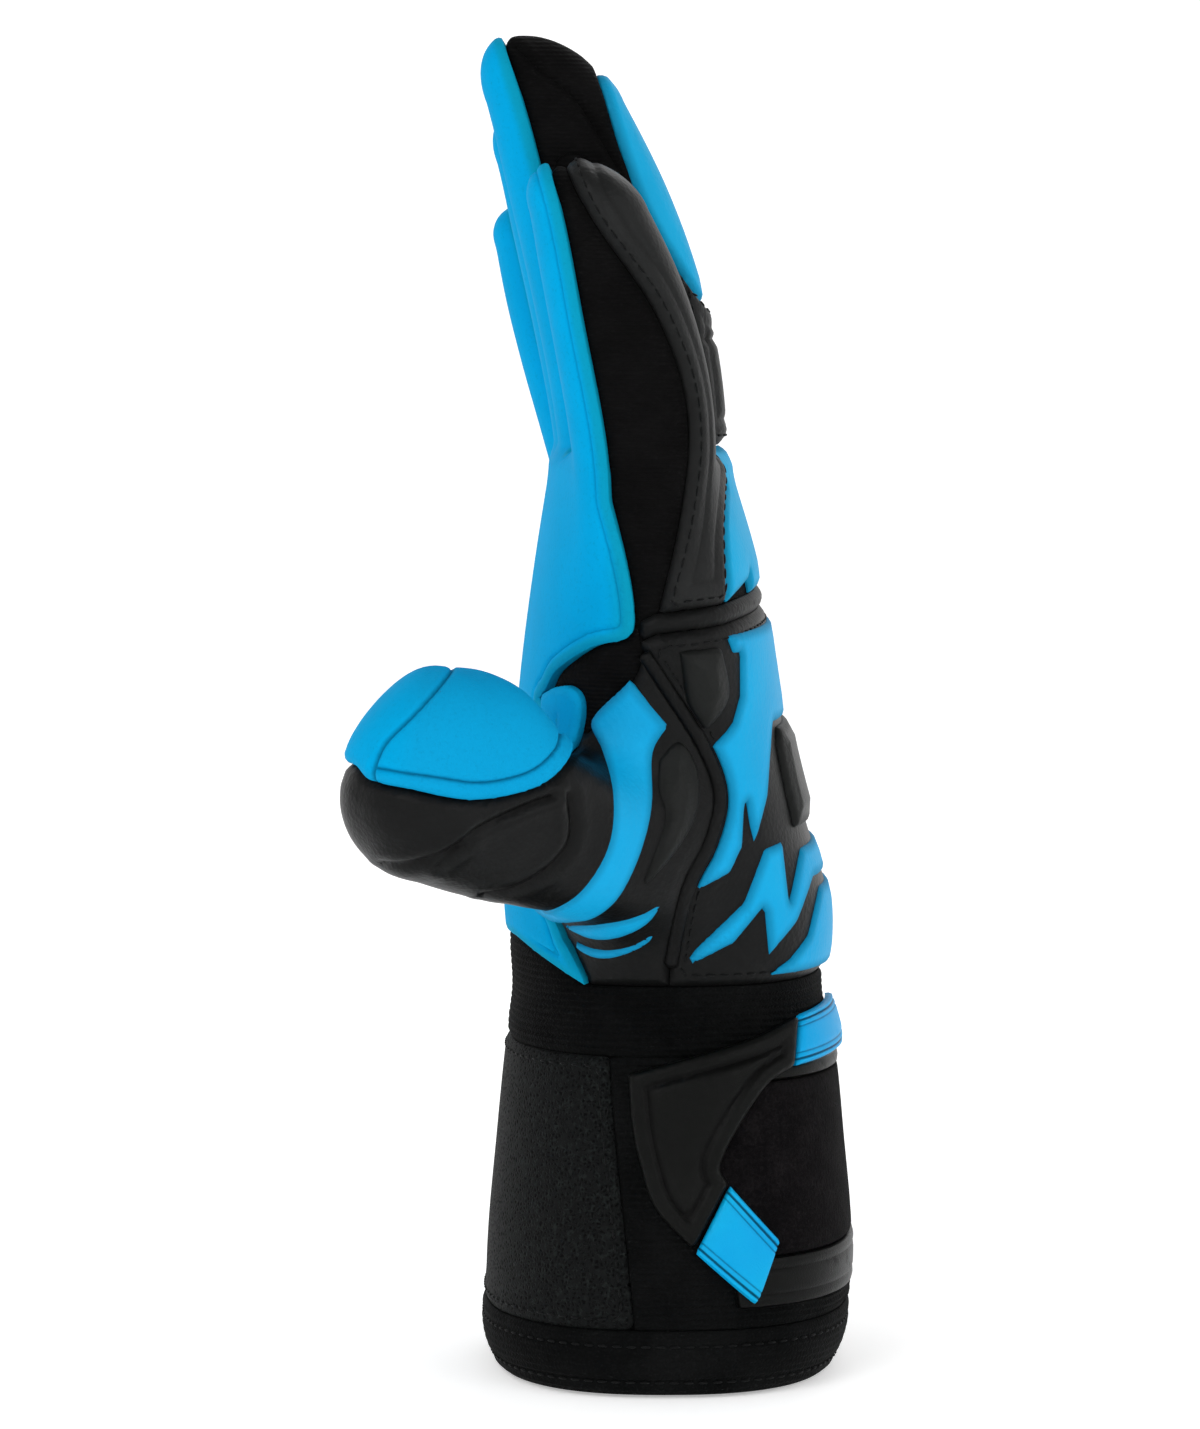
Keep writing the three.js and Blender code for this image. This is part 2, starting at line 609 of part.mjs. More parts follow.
const patches = [
  {
    name: "thumb_arc", finish: colours.blue, from: -2, to: nearSide / palmBreadth, thickness: patchThickness,
    outline: [
      [-0.31, 0.52], [-0.17, 0.595], [-0.01, 0.51], [-0.07, 0.46], [-0.08, 0.36], [-0.15, 0.25], [-0.25, 0.175],
      [-0.43, 0.125], [-0.58, 0.15], [-0.49, 0.175], [-0.36, 0.22], [-0.26, 0.3], [-0.24, 0.39], [-0.28, 0.48],
    ],
  },
  {
    name: "thumb_lens_pad", finish: colours.pad, from: -2, to: nearSide / palmBreadth, thickness: padThickness,
    outline: [[0.02, 0.47], [0.09, 0.41], [0.07, 0.35], [-0.04, 0.22], [-0.05, 0.35]],
  },
  {
    name: "heel_crescent_upper", finish: colours.blue, from: -2, to: nearSide / palmBreadth,
    thickness: patchThickness,
    outline: [[-0.06, 0.18], [-0.14, 0.115], [-0.34, 0.1], [-0.35, 0.125], [-0.2, 0.15]],
  },
  {
    name: "heel_crescent_lower", finish: colours.blue, from: -2, to: nearSide / palmBreadth,
    thickness: patchThickness,
    outline: [[-0.31, 0.085], [-0.27, 0.055], [-0.14, 0.08], [-0.2, 0.09]],
  },
  {
    name: "knuckle_pad", finish: colours.pad, from: -2, to: nearSide / palmBreadth, thickness: padThickness,
    outline: [[0.03, 0.665], [0.19, 0.67], [0.22, 0.57], [0.12, 0.51], [0.06, 0.57]],
  },
  {
    name: "far_knuckle_pad", finish: colours.pad, from: -nearSide / palmBreadth, to: 2, thickness: padThickness,
    outline: [[0.03, 0.665], [0.19, 0.67], [0.22, 0.57], [0.12, 0.51], [0.06, 0.57]],
  },
  {
    name: "flash_upper", finish: colours.blue, from: -2, to: 2, thickness: patchThickness,
    outline: [
      [0.22, 0.69], [0.24, 0.655], [0.27, 0.655], [0.27, 0.57], [0.24, 0.52], [0.15, 0.47], [0.22, 0.38], [0.2, 0.33],
      [0.1, 0.24], [0.1, 0.2], [0.23, 0.23], [0.28, 0.28], [0.29, 0.38], [0.31, 0.32], [0.33, 0.28], [0.38, 0.37],
      [0.4, 0.51], [0.6, 0.51], [0.6, 0.7], [0.4, 0.7],
    ],
  },
  {
    name: "back_wedge_pad", finish: colours.pad, from: -0.24, to: 0.24, thickness: padThickness,
    outline: [[0.42, 0.5], [0.42, 0.3], [0.8, 0.3], [0.8, 0.5]],
  },
  {
    name: "flash_lower", finish: colours.blue, from: -2, to: 2, thickness: patchThickness,
    outline: [
      [0.44, 0.28], [0.47, 0.16], [0.52, 0.26], [0.8, 0.28], [0.8, 0.2], [0.57, 0.2], [0.5, 0.12], [0.39, 0.06],
      [0.37, 0.16], [0.25, 0.09], [0, 0.035], [0.1, 0.08], [0.29, 0.17], [0.37, 0.27],
    ],
  },
  {
    name: "heel_flash", finish: colours.blue, from: -2, to: 2, thickness: patchThickness,
    outline: [[0.6, 0.18], [0.8, 0.18], [0.8, 0.02], [0.39, 0.02], [0.48, 0.05], [0.55, 0.09]],
  },
];

function addPatches() {
  const binding = zone(ribbon(onHand(seamLine), bindingWidth), -beyond, nearSide);
  const shells = new Map();
  for (const thickness of [patchThickness, padThickness, bindingThickness]) {
    shells.set(thickness, patchShell(thickness));
  }
  addPiece("seam_binding", shells.get(bindingThickness).intersect(binding.cut), colours.pad);
  for (const patch of patches) {
    const own = zone(onHand(patch.outline), patch.from * palmBreadth, patch.to * palmBreadth);
    addPiece(patch.name, without(shells.get(patch.thickness).intersect(own.cut), [binding]), patch.finish);
  }
}

addCuff();
addStrap();
addPalmAndThumb();
addBackhand();
addFingers();
addPatches();

export default glove;
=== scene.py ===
import math

import bpy
import numpy as np
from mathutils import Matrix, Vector
from mathutils.kdtree import KDTree


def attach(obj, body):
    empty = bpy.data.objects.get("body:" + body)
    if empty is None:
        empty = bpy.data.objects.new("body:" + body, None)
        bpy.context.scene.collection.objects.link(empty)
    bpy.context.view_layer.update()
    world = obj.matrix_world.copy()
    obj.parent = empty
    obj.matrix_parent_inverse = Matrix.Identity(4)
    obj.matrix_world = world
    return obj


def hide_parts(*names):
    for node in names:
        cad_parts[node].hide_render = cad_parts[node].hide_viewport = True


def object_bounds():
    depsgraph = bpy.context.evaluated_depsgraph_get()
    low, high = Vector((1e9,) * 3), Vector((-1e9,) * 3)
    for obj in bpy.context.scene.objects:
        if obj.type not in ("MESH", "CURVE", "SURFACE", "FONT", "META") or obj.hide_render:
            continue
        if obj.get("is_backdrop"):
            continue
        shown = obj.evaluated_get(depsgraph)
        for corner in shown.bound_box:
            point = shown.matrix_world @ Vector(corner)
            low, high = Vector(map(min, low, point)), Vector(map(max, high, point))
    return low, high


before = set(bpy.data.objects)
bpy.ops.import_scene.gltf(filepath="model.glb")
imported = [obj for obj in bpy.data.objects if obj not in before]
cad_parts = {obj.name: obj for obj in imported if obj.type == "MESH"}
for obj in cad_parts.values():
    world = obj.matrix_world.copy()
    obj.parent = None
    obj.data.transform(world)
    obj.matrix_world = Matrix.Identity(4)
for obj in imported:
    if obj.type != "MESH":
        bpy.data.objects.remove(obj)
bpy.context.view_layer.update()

# Palm latex. A slab of soft latex foam, cut flat with crisp edges and sewn in as the whole palm, the heel
# and the front of every finger. All the hand's panels are patches of one skin, the shape that the hand
# inside gives them. Lengths are in millimetres: palm towards -X, thumb towards -Y, fingertips up.
MM = 0.001
CUFF_HEIGHT = 70.0
CUFF_DEPTH = 77.0
CUFF_BREADTH = 96.0
WRIST_BAND = 14.0
WRIST_DEPTH = 65.4
WRIST_BREADTH = 79.0
PALM_FOOT = CUFF_HEIGHT + WRIST_BAND
PALM_LENGTH = 106.0
PALM_DEPTH = 52.0
PALM_BREADTH = 104.0
PALM_TOP = PALM_FOOT + PALM_LENGTH
KNUCKLE_ROUND = 8.0
FAR = 400.0

# Sections up the glove. Columns: height, reach to the palm, the back, the thumb side and the far side
CUFF_SECTIONS = np.array([
    (0.00, 0.474, 0.448, 0.470, 0.470),
    (0.07, 0.502, 0.480, 0.490, 0.490),
    (0.30, 0.503, 0.504, 0.498, 0.498),
    (0.70, 0.474, 0.482, 0.463, 0.463),
    (1.00, 0.446, 0.451, 0.430, 0.430),
])
WRIST_SECTIONS = np.array([
    (0.70, 0.506, 0.498, 0.500, 0.500),
])
HAND_SECTIONS = np.array([
    (0.05, 0.645, 0.650, 0.390, 0.396),
    (0.14, 0.656, 0.648, 0.408, 0.427),
    (0.30, 0.643, 0.556, 0.440, 0.468),
    (0.45, 0.615, 0.478, 0.464, 0.489),
    (0.62, 0.582, 0.420, 0.486, 0.500),
    (0.80, 0.534, 0.366, 0.494, 0.498),
    (1.00, 0.470, 0.250, 0.490, 0.480),
])
TRUNK = np.vstack([
    CUFF_SECTIONS * (CUFF_HEIGHT, CUFF_DEPTH, CUFF_DEPTH, CUFF_BREADTH, CUFF_BREADTH),
    WRIST_SECTIONS * (WRIST_BAND, WRIST_DEPTH, WRIST_DEPTH, WRIST_BREADTH, WRIST_BREADTH)
    + (CUFF_HEIGHT, 0, 0, 0, 0),
    HAND_SECTIONS * (PALM_LENGTH, PALM_DEPTH, PALM_DEPTH, PALM_BREADTH, PALM_BREADTH)
    + (PALM_FOOT, 0, 0, 0, 0),
])
TRUNK_POWER = 2.4


def soft_rows(at, places, values):
    """A smooth curve through the rows of a table, with slopes taken from the neighbours."""
    slopes = np.gradient(values, places)
    at = np.clip(at, places[0], places[-1])
    row = np.clip(np.searchsorted(places, at, side="right") - 1, 0, len(places) - 2)
    span = places[row + 1] - places[row]
    t = (at - places[row]) / span
    start, end = values[row], values[row + 1]
    rise, fall = slopes[row] * span, slopes[row + 1] * span
    return ((2 * t**3 - 3 * t**2 + 1) * start + (t**3 - 2 * t**2 + t) * rise
            + (3 * t**2 - 2 * t**3) * end + (t**3 - t**2) * fall)


def depth_in(dx, dy, dome, half_x, half_y, power):
    """About how deep a place lies in a round-cornered section with a domed end. Inside is below 0."""
    ratio = (np.abs(dx / half_x)**power + np.abs(dy / half_y)**power)**(1 / power)
    ratio = np.maximum(np.sqrt(ratio**2 + np.maximum(dome, 0)**2), 0.05)
    size = np.maximum(np.sqrt(dx**2 + dy**2), 0.7 * np.minimum(half_x, half_y))
    return size * (ratio - 1) / np.maximum(ratio, 0.3)


def trunk_row(z):
    return [soft_rows(z, TRUNK[:, 0], TRUNK[:, column]) for column in (1, 2, 3, 4)]


def trunk_form(x, y, z):
    palm, back, near, far = trunk_row(z)
    breadth = np.where(y < 0, near, far)
    dome = (z - PALM_TOP) / KNUCKLE_ROUND
    return depth_in(x - (back - palm) / 2, y, dome, (back + palm) / 2, breadth, TRUNK_POWER)


# Columns: length, breadth, depth, place across the palm, fan, root, tilt and curl towards the palm
FINGERS = {
    "index": (64.0, 25.0, 29.0, -0.375, -0.06, -0.10, 0.00, 0.24),
    "middle": (91.0, 26.0, 35.0, -0.125, -0.01, -0.10, 0.00, 0.27),
    "ring": (77.0, 25.5, 34.0, 0.125, 0.03, -0.13, 0.00, 0.27),
    "little": (56.0, 23.5, 30.0, 0.365, 0.08, -0.20, 0.17, 0.15),
}
CURL_POWER = 1.7

# Sections along a finger: share of its length, of its depth and of its breadth
FINGER_SECTIONS = np.array([
    (-0.26, 0.84, 0.92),
    (0.10, 0.98, 0.99),
    (0.40, 1.00, 1.00),
    (0.65, 0.92, 0.96),
    (0.84, 0.79, 0.89),
])
FRONT_POWER = 3.4
BACK_POWER = 2.3


def finger_lean(name, rise):
    """Where the middle line of a finger runs in the side view."""
    length, _, _, _, _, root, tilt, curl = FINGERS[name]
    along = np.maximum(rise, 0)
    return root * PALM_DEPTH - (tilt * along + curl * along**CURL_POWER) * length


def finger_form(name, x, y, z):
    length, breadth, depth, place, fan, _, _, _ = FINGERS[name]
    rise = (z - PALM_TOP) / length
    half_x = soft_rows(rise, FINGER_SECTIONS[:, 0], FINGER_SECTIONS[:, 1]) * depth / 2
    half_y = soft_rows(rise, FINGER_SECTIONS[:, 0], FINGER_SECTIONS[:, 2]) * breadth / 2
    dx = x - finger_lean(name, rise)
    dy = y - place * PALM_BREADTH - fan * length * rise
    first, last = FINGER_SECTIONS[0, 0], FINGER_SECTIONS[-1, 0]
    dome = np.maximum((rise - last) / (1 - last), (first - rise) * 4)
    return depth_in(dx, dy, dome, half_x, half_y, np.where(dx < 0, FRONT_POWER, BACK_POWER))


THUMB_LENGTH = 78.0
THUMB_DEPTH = 42.0
THUMB_BREADTH = 36.0
THUMB_ROUND = 17.0
THUMB_ROOT = np.array((-0.08 * PALM_DEPTH, -0.3 * PALM_BREADTH, PALM_FOOT + 0.31 * PALM_LENGTH))
THUMB_AXIS = np.array((-0.74, -0.65, 0.175))
THUMB_AXIS /= np.linalg.norm(THUMB_AXIS)
THUMB_ACROSS = np.cross(THUMB_AXIS, (-0.05, 0.22, -0.97))
THUMB_ACROSS /= np.linalg.norm(THUMB_ACROSS)
THUMB_BACK = np.cross(THUMB_ACROSS, THUMB_AXIS)

# Sections along the thumb: share of its length, reach to the latex face, reach to the back, breadth
THUMB_SECTIONS = np.array([
    (0.00, 0.24, 0.48, 1.10),
    (0.30, 0.29, 0.47, 1.08),
    (0.50, 0.44, 0.45, 1.04),
    (0.64, 0.58, 0.44, 1.02),
    (0.78, 0.58, 0.41, 0.96),
])
THUMB_POWER = 2.5
TIP_SLOPE = 144.6
TIP_FILLET = 4.0


def thumb_place(x, y, z):
    """A place in the thumb's own frame: towards its back, across it and along it."""
    moved = (x - THUMB_ROOT[0], y - THUMB_ROOT[1], z - THUMB_ROOT[2])
    return [moved[0] * axis[0] + moved[1] * axis[1] + moved[2] * axis[2]
            for axis in (THUMB_BACK, THUMB_ACROSS, THUMB_AXIS)]


def thumb_form(x, y, z):
    backward, across, along = thumb_place(x, y, z)
    rise = along / THUMB_LENGTH
    face, back, breadth = (soft_rows(rise, THUMB_SECTIONS[:, 0], THUMB_SECTIONS[:, column])
                           for column in (1, 2, 3))
    dome = np.maximum((rise - THUMB_SECTIONS[-1, 0]) * THUMB_LENGTH / THUMB_ROUND, -rise * 4)
    limb = depth_in(backward - (back - face) / 2 * THUMB_DEPTH, across, dome,
                    (back + face) / 2 * THUMB_DEPTH, breadth * THUMB_BREADTH / 2, THUMB_POWER)
    return -soft_join(-limb, TIP_SLOPE - (z - x) * math.sqrt(0.5), TIP_FILLET)


def soft_join(first, second, reach):
    """Two forms run into each other through a fillet."""
    share = np.clip(0.5 + 0.5 * (second - first) / reach, 0, 1)
    return second + (first - second) * share - reach * share * (1 - share)


FINGER_FILLET = 0.6
KNUCKLE_FILLET = 4.0
THUMB_FILLET = 5.0
WEB_FILLET = 9.0
WEB_MIDDLE = -10.0
WEB_REACH = 13.0


def hand_form(x, y, z):
    fingers = finger_form("index", x, y, z)
    for name in ("middle", "ring", "little"):
        fingers = soft_join(fingers, finger_form(name, x, y, z), FINGER_FILLET)
    web = THUMB_FILLET + WEB_FILLET * np.exp(-((x - WEB_MIDDLE) / WEB_REACH)**2)
    hand = soft_join(trunk_form(x, y, z), fingers, KNUCKLE_FILLET)
    return soft_join(hand, thumb_form(x, y, z), web)


def slope_of(form, points, step=0.15):
    """How fast a form changes along each axis."""
    parts = []
    for axis in np.eye(3) * step:
        ahead, behind = (points + axis).T, (points - axis).T
        parts.append((form(*ahead) - form(*behind)) / (2 * step))
    return np.stack(parts, axis=1)


def net_of(form, low, high, step):
    """The surface of a form as a net: rows of place and outward normal, and triangles."""
    x, y, z = (np.arange(a, b, step) for a, b in zip(low, high))
    value = form(x[:, None, None], y[None, :, None], z[None, None, :])
    inside = value < 0
    cells = np.array(value.shape) - 1
    corners, crossings, quads = [], [], []
    for axis in range(3):
        along, beside, over = np.eye(3, dtype=int)[[axis, (axis + 1) % 3, (axis + 2) % 3]]
        first = tuple(slice(0, n - k) for n, k in zip(value.shape, along))
        second = tuple(slice(k, n) for n, k in zip(value.shape, along))
        spots = np.argwhere(inside[first] != inside[second])
        ring = np.stack([spots, spots - beside, spots - beside - over, spots - over], axis=1)
        sound = ((ring >= 0) & (ring < cells)).all(axis=(1, 2))
        spots, ring = spots[sound], ring[sound]
        a, b = value[tuple(spots.T)], value[tuple((spots + along).T)]
        flat = (ring[..., 0] * cells[1] + ring[..., 1]) * cells[2] + ring[..., 2]
        corners.append(flat.ravel())
        crossings.append(np.repeat(spots + along * (a / (a - b))[:, None], 4, axis=0))
        quads.append(np.where((a < 0)[:, None], flat, flat[:, ::-1]))
    used, place = np.unique(np.concatenate(corners), return_inverse=True)
    crossings = np.concatenate(crossings)
    count = np.bincount(place)
    points = np.stack([np.bincount(place, crossings[:, k]) / count for k in range(3)], axis=1)
    points = points * step + np.array([x[0], y[0], z[0]])
    for _ in range(3):
        slope = slope_of(form, points)
        shift = form(*points.T) / np.maximum((slope**2).sum(axis=1), 0.2)
        points = points - slope * np.clip(shift, -step, step)[:, None]
    slope = slope_of(form, points)
    normals = slope / np.maximum(np.linalg.norm(slope, axis=1, keepdims=True), 1e-9)
    quads = np.searchsorted(used, np.concatenate(quads))
    return np.hstack([points, normals]), np.vstack([quads[:, [0, 1, 2]], quads[:, [0, 2, 3]]])


NET_STEP = 1.0
HAND, HAND_FACES = net_of(hand_form, (-78.0, -92.0, PALM_FOOT - 3), (42.0, 62.0, 284.0), NET_STEP)


def curved(points, sharp=(), steps=5):
    """A closed outline drawn as a soft curve, with corners only where they are named."""
    points = np.array(points, float)
    count = len(points)
    drawn = []
    for k in range(count):
        before, here, there, after = (points[(k + n) % count] for n in (-1, 0, 1, 2))
        leave = (there - here) if k in sharp else (there - before) / 2
        arrive = (there - here) if (k + 1) % count in sharp else (after - here) / 2
        limit = np.linalg.norm(there - here)
        leave = leave * min(1, 1.2 * limit / max(np.linalg.norm(leave), 1e-9))
        arrive = arrive * min(1, 1.2 * limit / max(np.linalg.norm(arrive), 1e-9))
        for t in np.arange(steps) / steps:
            drawn.append((2 * t**3 - 3 * t**2 + 1) * here + (t**3 - 2 * t**2 + t) * leave
                         + (3 * t**2 - 2 * t**3) * there + (t**3 - t**2) * arrive)
    return np.array(drawn)


def outline_depth(net, outline):
    """Distance in the side view from an outline to each row of a net. Inside is below 0."""
    x, z = net[:, 0], net[:, 2]
    nearest = np.full(len(net), 1e9)
    inside = np.zeros(len(net), bool)
    for (ax, az), (bx, bz) in zip(outline, np.roll(outline, -1, axis=0)):
        run_x, run_z = bx - ax, bz - az
        along = np.clip(((x - ax) * run_x + (z - az) * run_z) / max(run_x**2 + run_z**2, 1e-12), 0, 1)
        nearest = np.minimum(nearest, (x - ax - along * run_x)**2 + (z - az - along * run_z)**2)
        spans = (az > z) != (bz > z)
        if spans.any():
            meet = ax + (z - az) * run_x / (run_z if run_z else 1e-12)
            inside ^= spans & (x < meet)
    return np.where(inside, -1, 1) * np.sqrt(nearest)


def zone(net, outline, y_from=-FAR, y_to=FAR):
    """An outline in the side view, taken straight through the glove between two distances across it."""
    y = net[:, 1]
    return np.maximum(outline_depth(net, outline), np.maximum(y_from - y, y - y_to))


def on_hand(shares):
    return np.array(shares, float) * (PALM_DEPTH, PALM_LENGTH) + (0, PALM_FOOT)


def less(first, *others):
    for other in others:
        first = np.maximum(first, -other)
    return first


OVERLAP = 3.0
NEAR_SIDE = -0.15 * PALM_BREADTH
BACKWARD, _, ALONG = thumb_place(HAND[:, 0], HAND[:, 1], HAND[:, 2])
THUMB_START = 0.32 * THUMB_LENGTH
THUMB_REACH = 0.7 * THUMB_DEPTH
whole_thumb = np.maximum(np.abs(BACKWARD) - THUMB_REACH, THUMB_START - ALONG)

THUMB_LATEX = np.array([
    (-90, 133.7), (-63.8, 133.7), (-60.4, 131.1), (-51.6, 129.5), (-39.5, 127.2), (-29, 128.4),
    (-23.3, 131.1), (-19.9, 135.3), (-18.4, 141), (-18.9, 144.8), (-21.1, 146.6), (-24, 146.2),
    (-28.6, 143.5), (-31, 147), (-34, 160), (-90, 170),
], float)
THUMB_TOP = [(-90, 138), (-22, 138), (-22, 175), (-90, 175)]
LATEX_DROP = 8.0
DROP_FROM = -31.0
DROP_OVER = 4.0
latex_start = THUMB_START - LATEX_DROP * np.clip((DROP_FROM - HAND[:, 1]) / DROP_OVER, 0, 1)
thumb_latex_zone = np.minimum(
    np.maximum(zone(HAND, curved(THUMB_LATEX, sharp=(0, 14, 15))), latex_start - ALONG),
    np.maximum(zone(HAND, THUMB_TOP), 0.42 * THUMB_LENGTH - ALONG))
PALM_SIDE = on_hand([(-2, -0.1), (-0.2, -0.1), (-0.2, 1), (-2, 1)])
PALM_NEAR = curved(on_hand([
    (-2, 1), (-0.27, 1), (-0.18, 0.84), (-0.145, 0.735), (-0.17, 0.69),
    (-0.31, 0.67), (-0.45, 0.62), (-0.56, 0.55), (-2, 0.55),
]), sharp=(0, 1, 8))
THUMB_ROOT_LATEX = curved(on_hand([
    (-2, 0.16), (-0.5, 0.16), (-0.42, 0.22), (-0.38, 0.3), (-0.38, 0.42),
    (-0.4, 0.52), (-0.57, 0.56), (-2, 0.56),
]), sharp=(0, 7))
PALM_FRONT = on_hand([(-2, -0.1), (-0.2, -0.1), (-0.2, 0.42), (-2, 0.42)])
PALM_FRONT_EDGE = -0.33 * PALM_BREADTH
HEEL = curved(on_hand([
    (-2, 0.2), (-0.6, 0.16), (-0.43, 0.09), (-0.38, 0.05), (-0.31, -0.02), (-2, -0.02),
]), sharp=(0, 4, 5))
WRIST_TOP = np.array([(-60, 92.4), (-31.8, 92.4), (-17.3, 84.0), (60, 84.0), (60, 60), (-60, 60)])
PARTINGS = {"index": (-2, -0.25), "middle": (-0.25, 0), "ring": (0, 0.245), "little": (0.245, 2)}
PARTING_GAP = 0.1

# Where a latex strip ends on the side of its finger: share of the finger's length and of its depth
LATEX_EDGE = ((-0.12, -0.25), (-0.02, -0.26), (0.48, -0.29), (0.84, -0.2), (1.2, -0.1))


def finger_cell(net, name):
    """One finger's part of the hand, between its partings."""
    low, high = (share * PALM_BREADTH for share in PARTINGS[name])
    return np.maximum(low + PARTING_GAP - net[:, 1], net[:, 1] - high + PARTING_GAP)


def finger_strip(net, name, edge, towards):
    """A strip of one finger, from an edge that follows the finger to its palm side or its back."""
    length, _, depth = FINGERS[name][:3]
    rise = (net[:, 2] - PALM_TOP) / length
    rises, shares = np.array(edge).T
    line = finger_lean(name, rise) + soft_rows(rise, rises, shares) * depth
    across = (line - net[:, 0]) * towards * 0.9
    return np.maximum(across, (rises[0] - rise) * length)


palm_zone = np.minimum.reduce([
    less(zone(HAND, PALM_SIDE, NEAR_SIDE - OVERLAP, FAR), whole_thumb),
    less(zone(HAND, PALM_NEAR, -FAR, NEAR_SIDE), thumb_latex_zone),
    less(zone(HAND, THUMB_ROOT_LATEX, -FAR, NEAR_SIDE), whole_thumb),
    less(zone(HAND, HEEL, -FAR, NEAR_SIDE), whole_thumb),
    less(zone(HAND, PALM_FRONT, PALM_FRONT_EDGE, FAR), whole_thumb),
] + [np.maximum(finger_strip(HAND, name, LATEX_EDGE, -1), finger_cell(HAND, name)) for name in FINGERS])
above_wrist = -outline_depth(HAND, WRIST_TOP)


def divide(rows, faces, value):
    """Triangles cut along the line where value is 0. Rows and value grow by the new corners."""
    rows, value = rows.copy(), value.copy()
    count = len(rows)

    def crossing_pairs():
        pairs = np.sort(faces[:, [0, 1, 1, 2, 2, 0]].reshape(-1, 2), axis=1)
        keys = np.unique(pairs[:, 0] * count + pairs[:, 1])
        low, high = keys // count, keys % count
        crossed = value[low] * value[high] < 0
        return keys[crossed], low[crossed], high[crossed]

    _, low, high = crossing_pairs()
    share = value[low] / (value[low] - value[high])
    for ends, others, at in ((low, high, share), (high, low, 1 - share)):
        close = at < 0.18
        rows[ends[close]] += (rows[others[close]] - rows[ends[close]]) * at[close][:, None]
        value[ends[close]] = 0
    keys, low, high = crossing_pairs()
    share = value[low] / (value[low] - value[high])
    fresh = rows[low] + (rows[high] - rows[low]) * share[:, None]

    def between(first, second):
        return count + np.searchsorted(keys, np.minimum(first, second) * count + np.maximum(first, second))

    sign = np.sign(value)[faces]
    mixed = (sign.min(axis=1) < 0) & (sign.max(axis=1) > 0)
    parts = [faces[~mixed]]
    faces, sign = faces[mixed], sign[mixed]
    touching = (sign == 0).any(axis=1)
    turn = (np.argmax(sign[touching] == 0, axis=1)[:, None] + np.arange(3)) % 3
    tip, a, b = np.take_along_axis(faces[touching], turn, axis=1).T
    middle = between(a, b)
    parts += [np.stack([tip, a, middle], axis=1), np.stack([tip, middle, b], axis=1)]
    faces, sign = faces[~touching], sign[~touching]
    turn = (np.argmax(sign == -np.sign(sign.sum(axis=1))[:, None], axis=1)[:, None] + np.arange(3)) % 3
    tip, a, b = np.take_along_axis(faces, turn, axis=1).T
    first, second = between(tip, a), between(tip, b)
    parts += [np.stack(corners, axis=1) for corners in
              ((tip, first, second), (first, a, b), (first, b, second))]
    return np.vstack([rows, fresh]), np.vstack(parts), np.concatenate([value, np.zeros(len(fresh))])


def tidy_net(rows, faces, least=0.02):
    """Only the rows in use, without crumbs that hang on to nothing."""
    label = np.arange(len(rows))
    while True:
        lowest = label[faces].min(axis=1)
        before = label.copy()
        np.minimum.at(label, faces.ravel(), np.repeat(lowest, 3))
        label = label[label]
        if (label == before).all():
            break
    home = label[faces[:, 0]]
    sizes = np.bincount(home)
    faces = faces[sizes[home] > least * len(faces)]
    used, flat = np.unique(faces, return_inverse=True)
    return rows[used], flat.reshape(-1, 3)


def open_edges(faces):
    """The directed edges that belong to one triangle only."""
    edges = faces[:, [0, 1, 1, 2, 2, 0]].reshape(-1, 2)
    span = faces.max() + 1
    keys = edges[:, 0] * span + edges[:, 1]
    back = edges[:, 1] * span + edges[:, 0]
    return edges[~np.isin(keys, back)]


def edge_distance(rows, edges):
    """How far each row is from the edge of its panel."""
    tree = KDTree(2 * len(edges))
    for k, (a, b) in enumerate(edges):
        tree.insert(rows[a, :3], 2 * k)
        tree.insert((rows[a, :3] + rows[b, :3]) / 2, 2 * k + 1)
    tree.balance()
    distance = np.array([tree.find(place)[2] for place in rows[:, :3]])
    distance[edges.ravel()] = 0
    return distance


def chains_along(faces, on_line, deeper):
    """The runs of edges that follow a line across a panel, as lists of rows."""
    edges = faces[deeper][:, [0, 1, 1, 2, 2, 0]].reshape(-1, 2)
    edges = edges[on_line[edges].all(axis=1)]
    following = {int(a): int(b) for a, b in edges}
    starts = sorted(set(following) - set(following.values())) + sorted(following)
    chains, seen = [], set()
    for start in starts:
        chain = []
        while start in following and start not in seen:
            seen.add(start)
            chain.append(start)
            start = following[start]
        if len(chain) > 4:
            chains.append(chain + [start])
    return chains


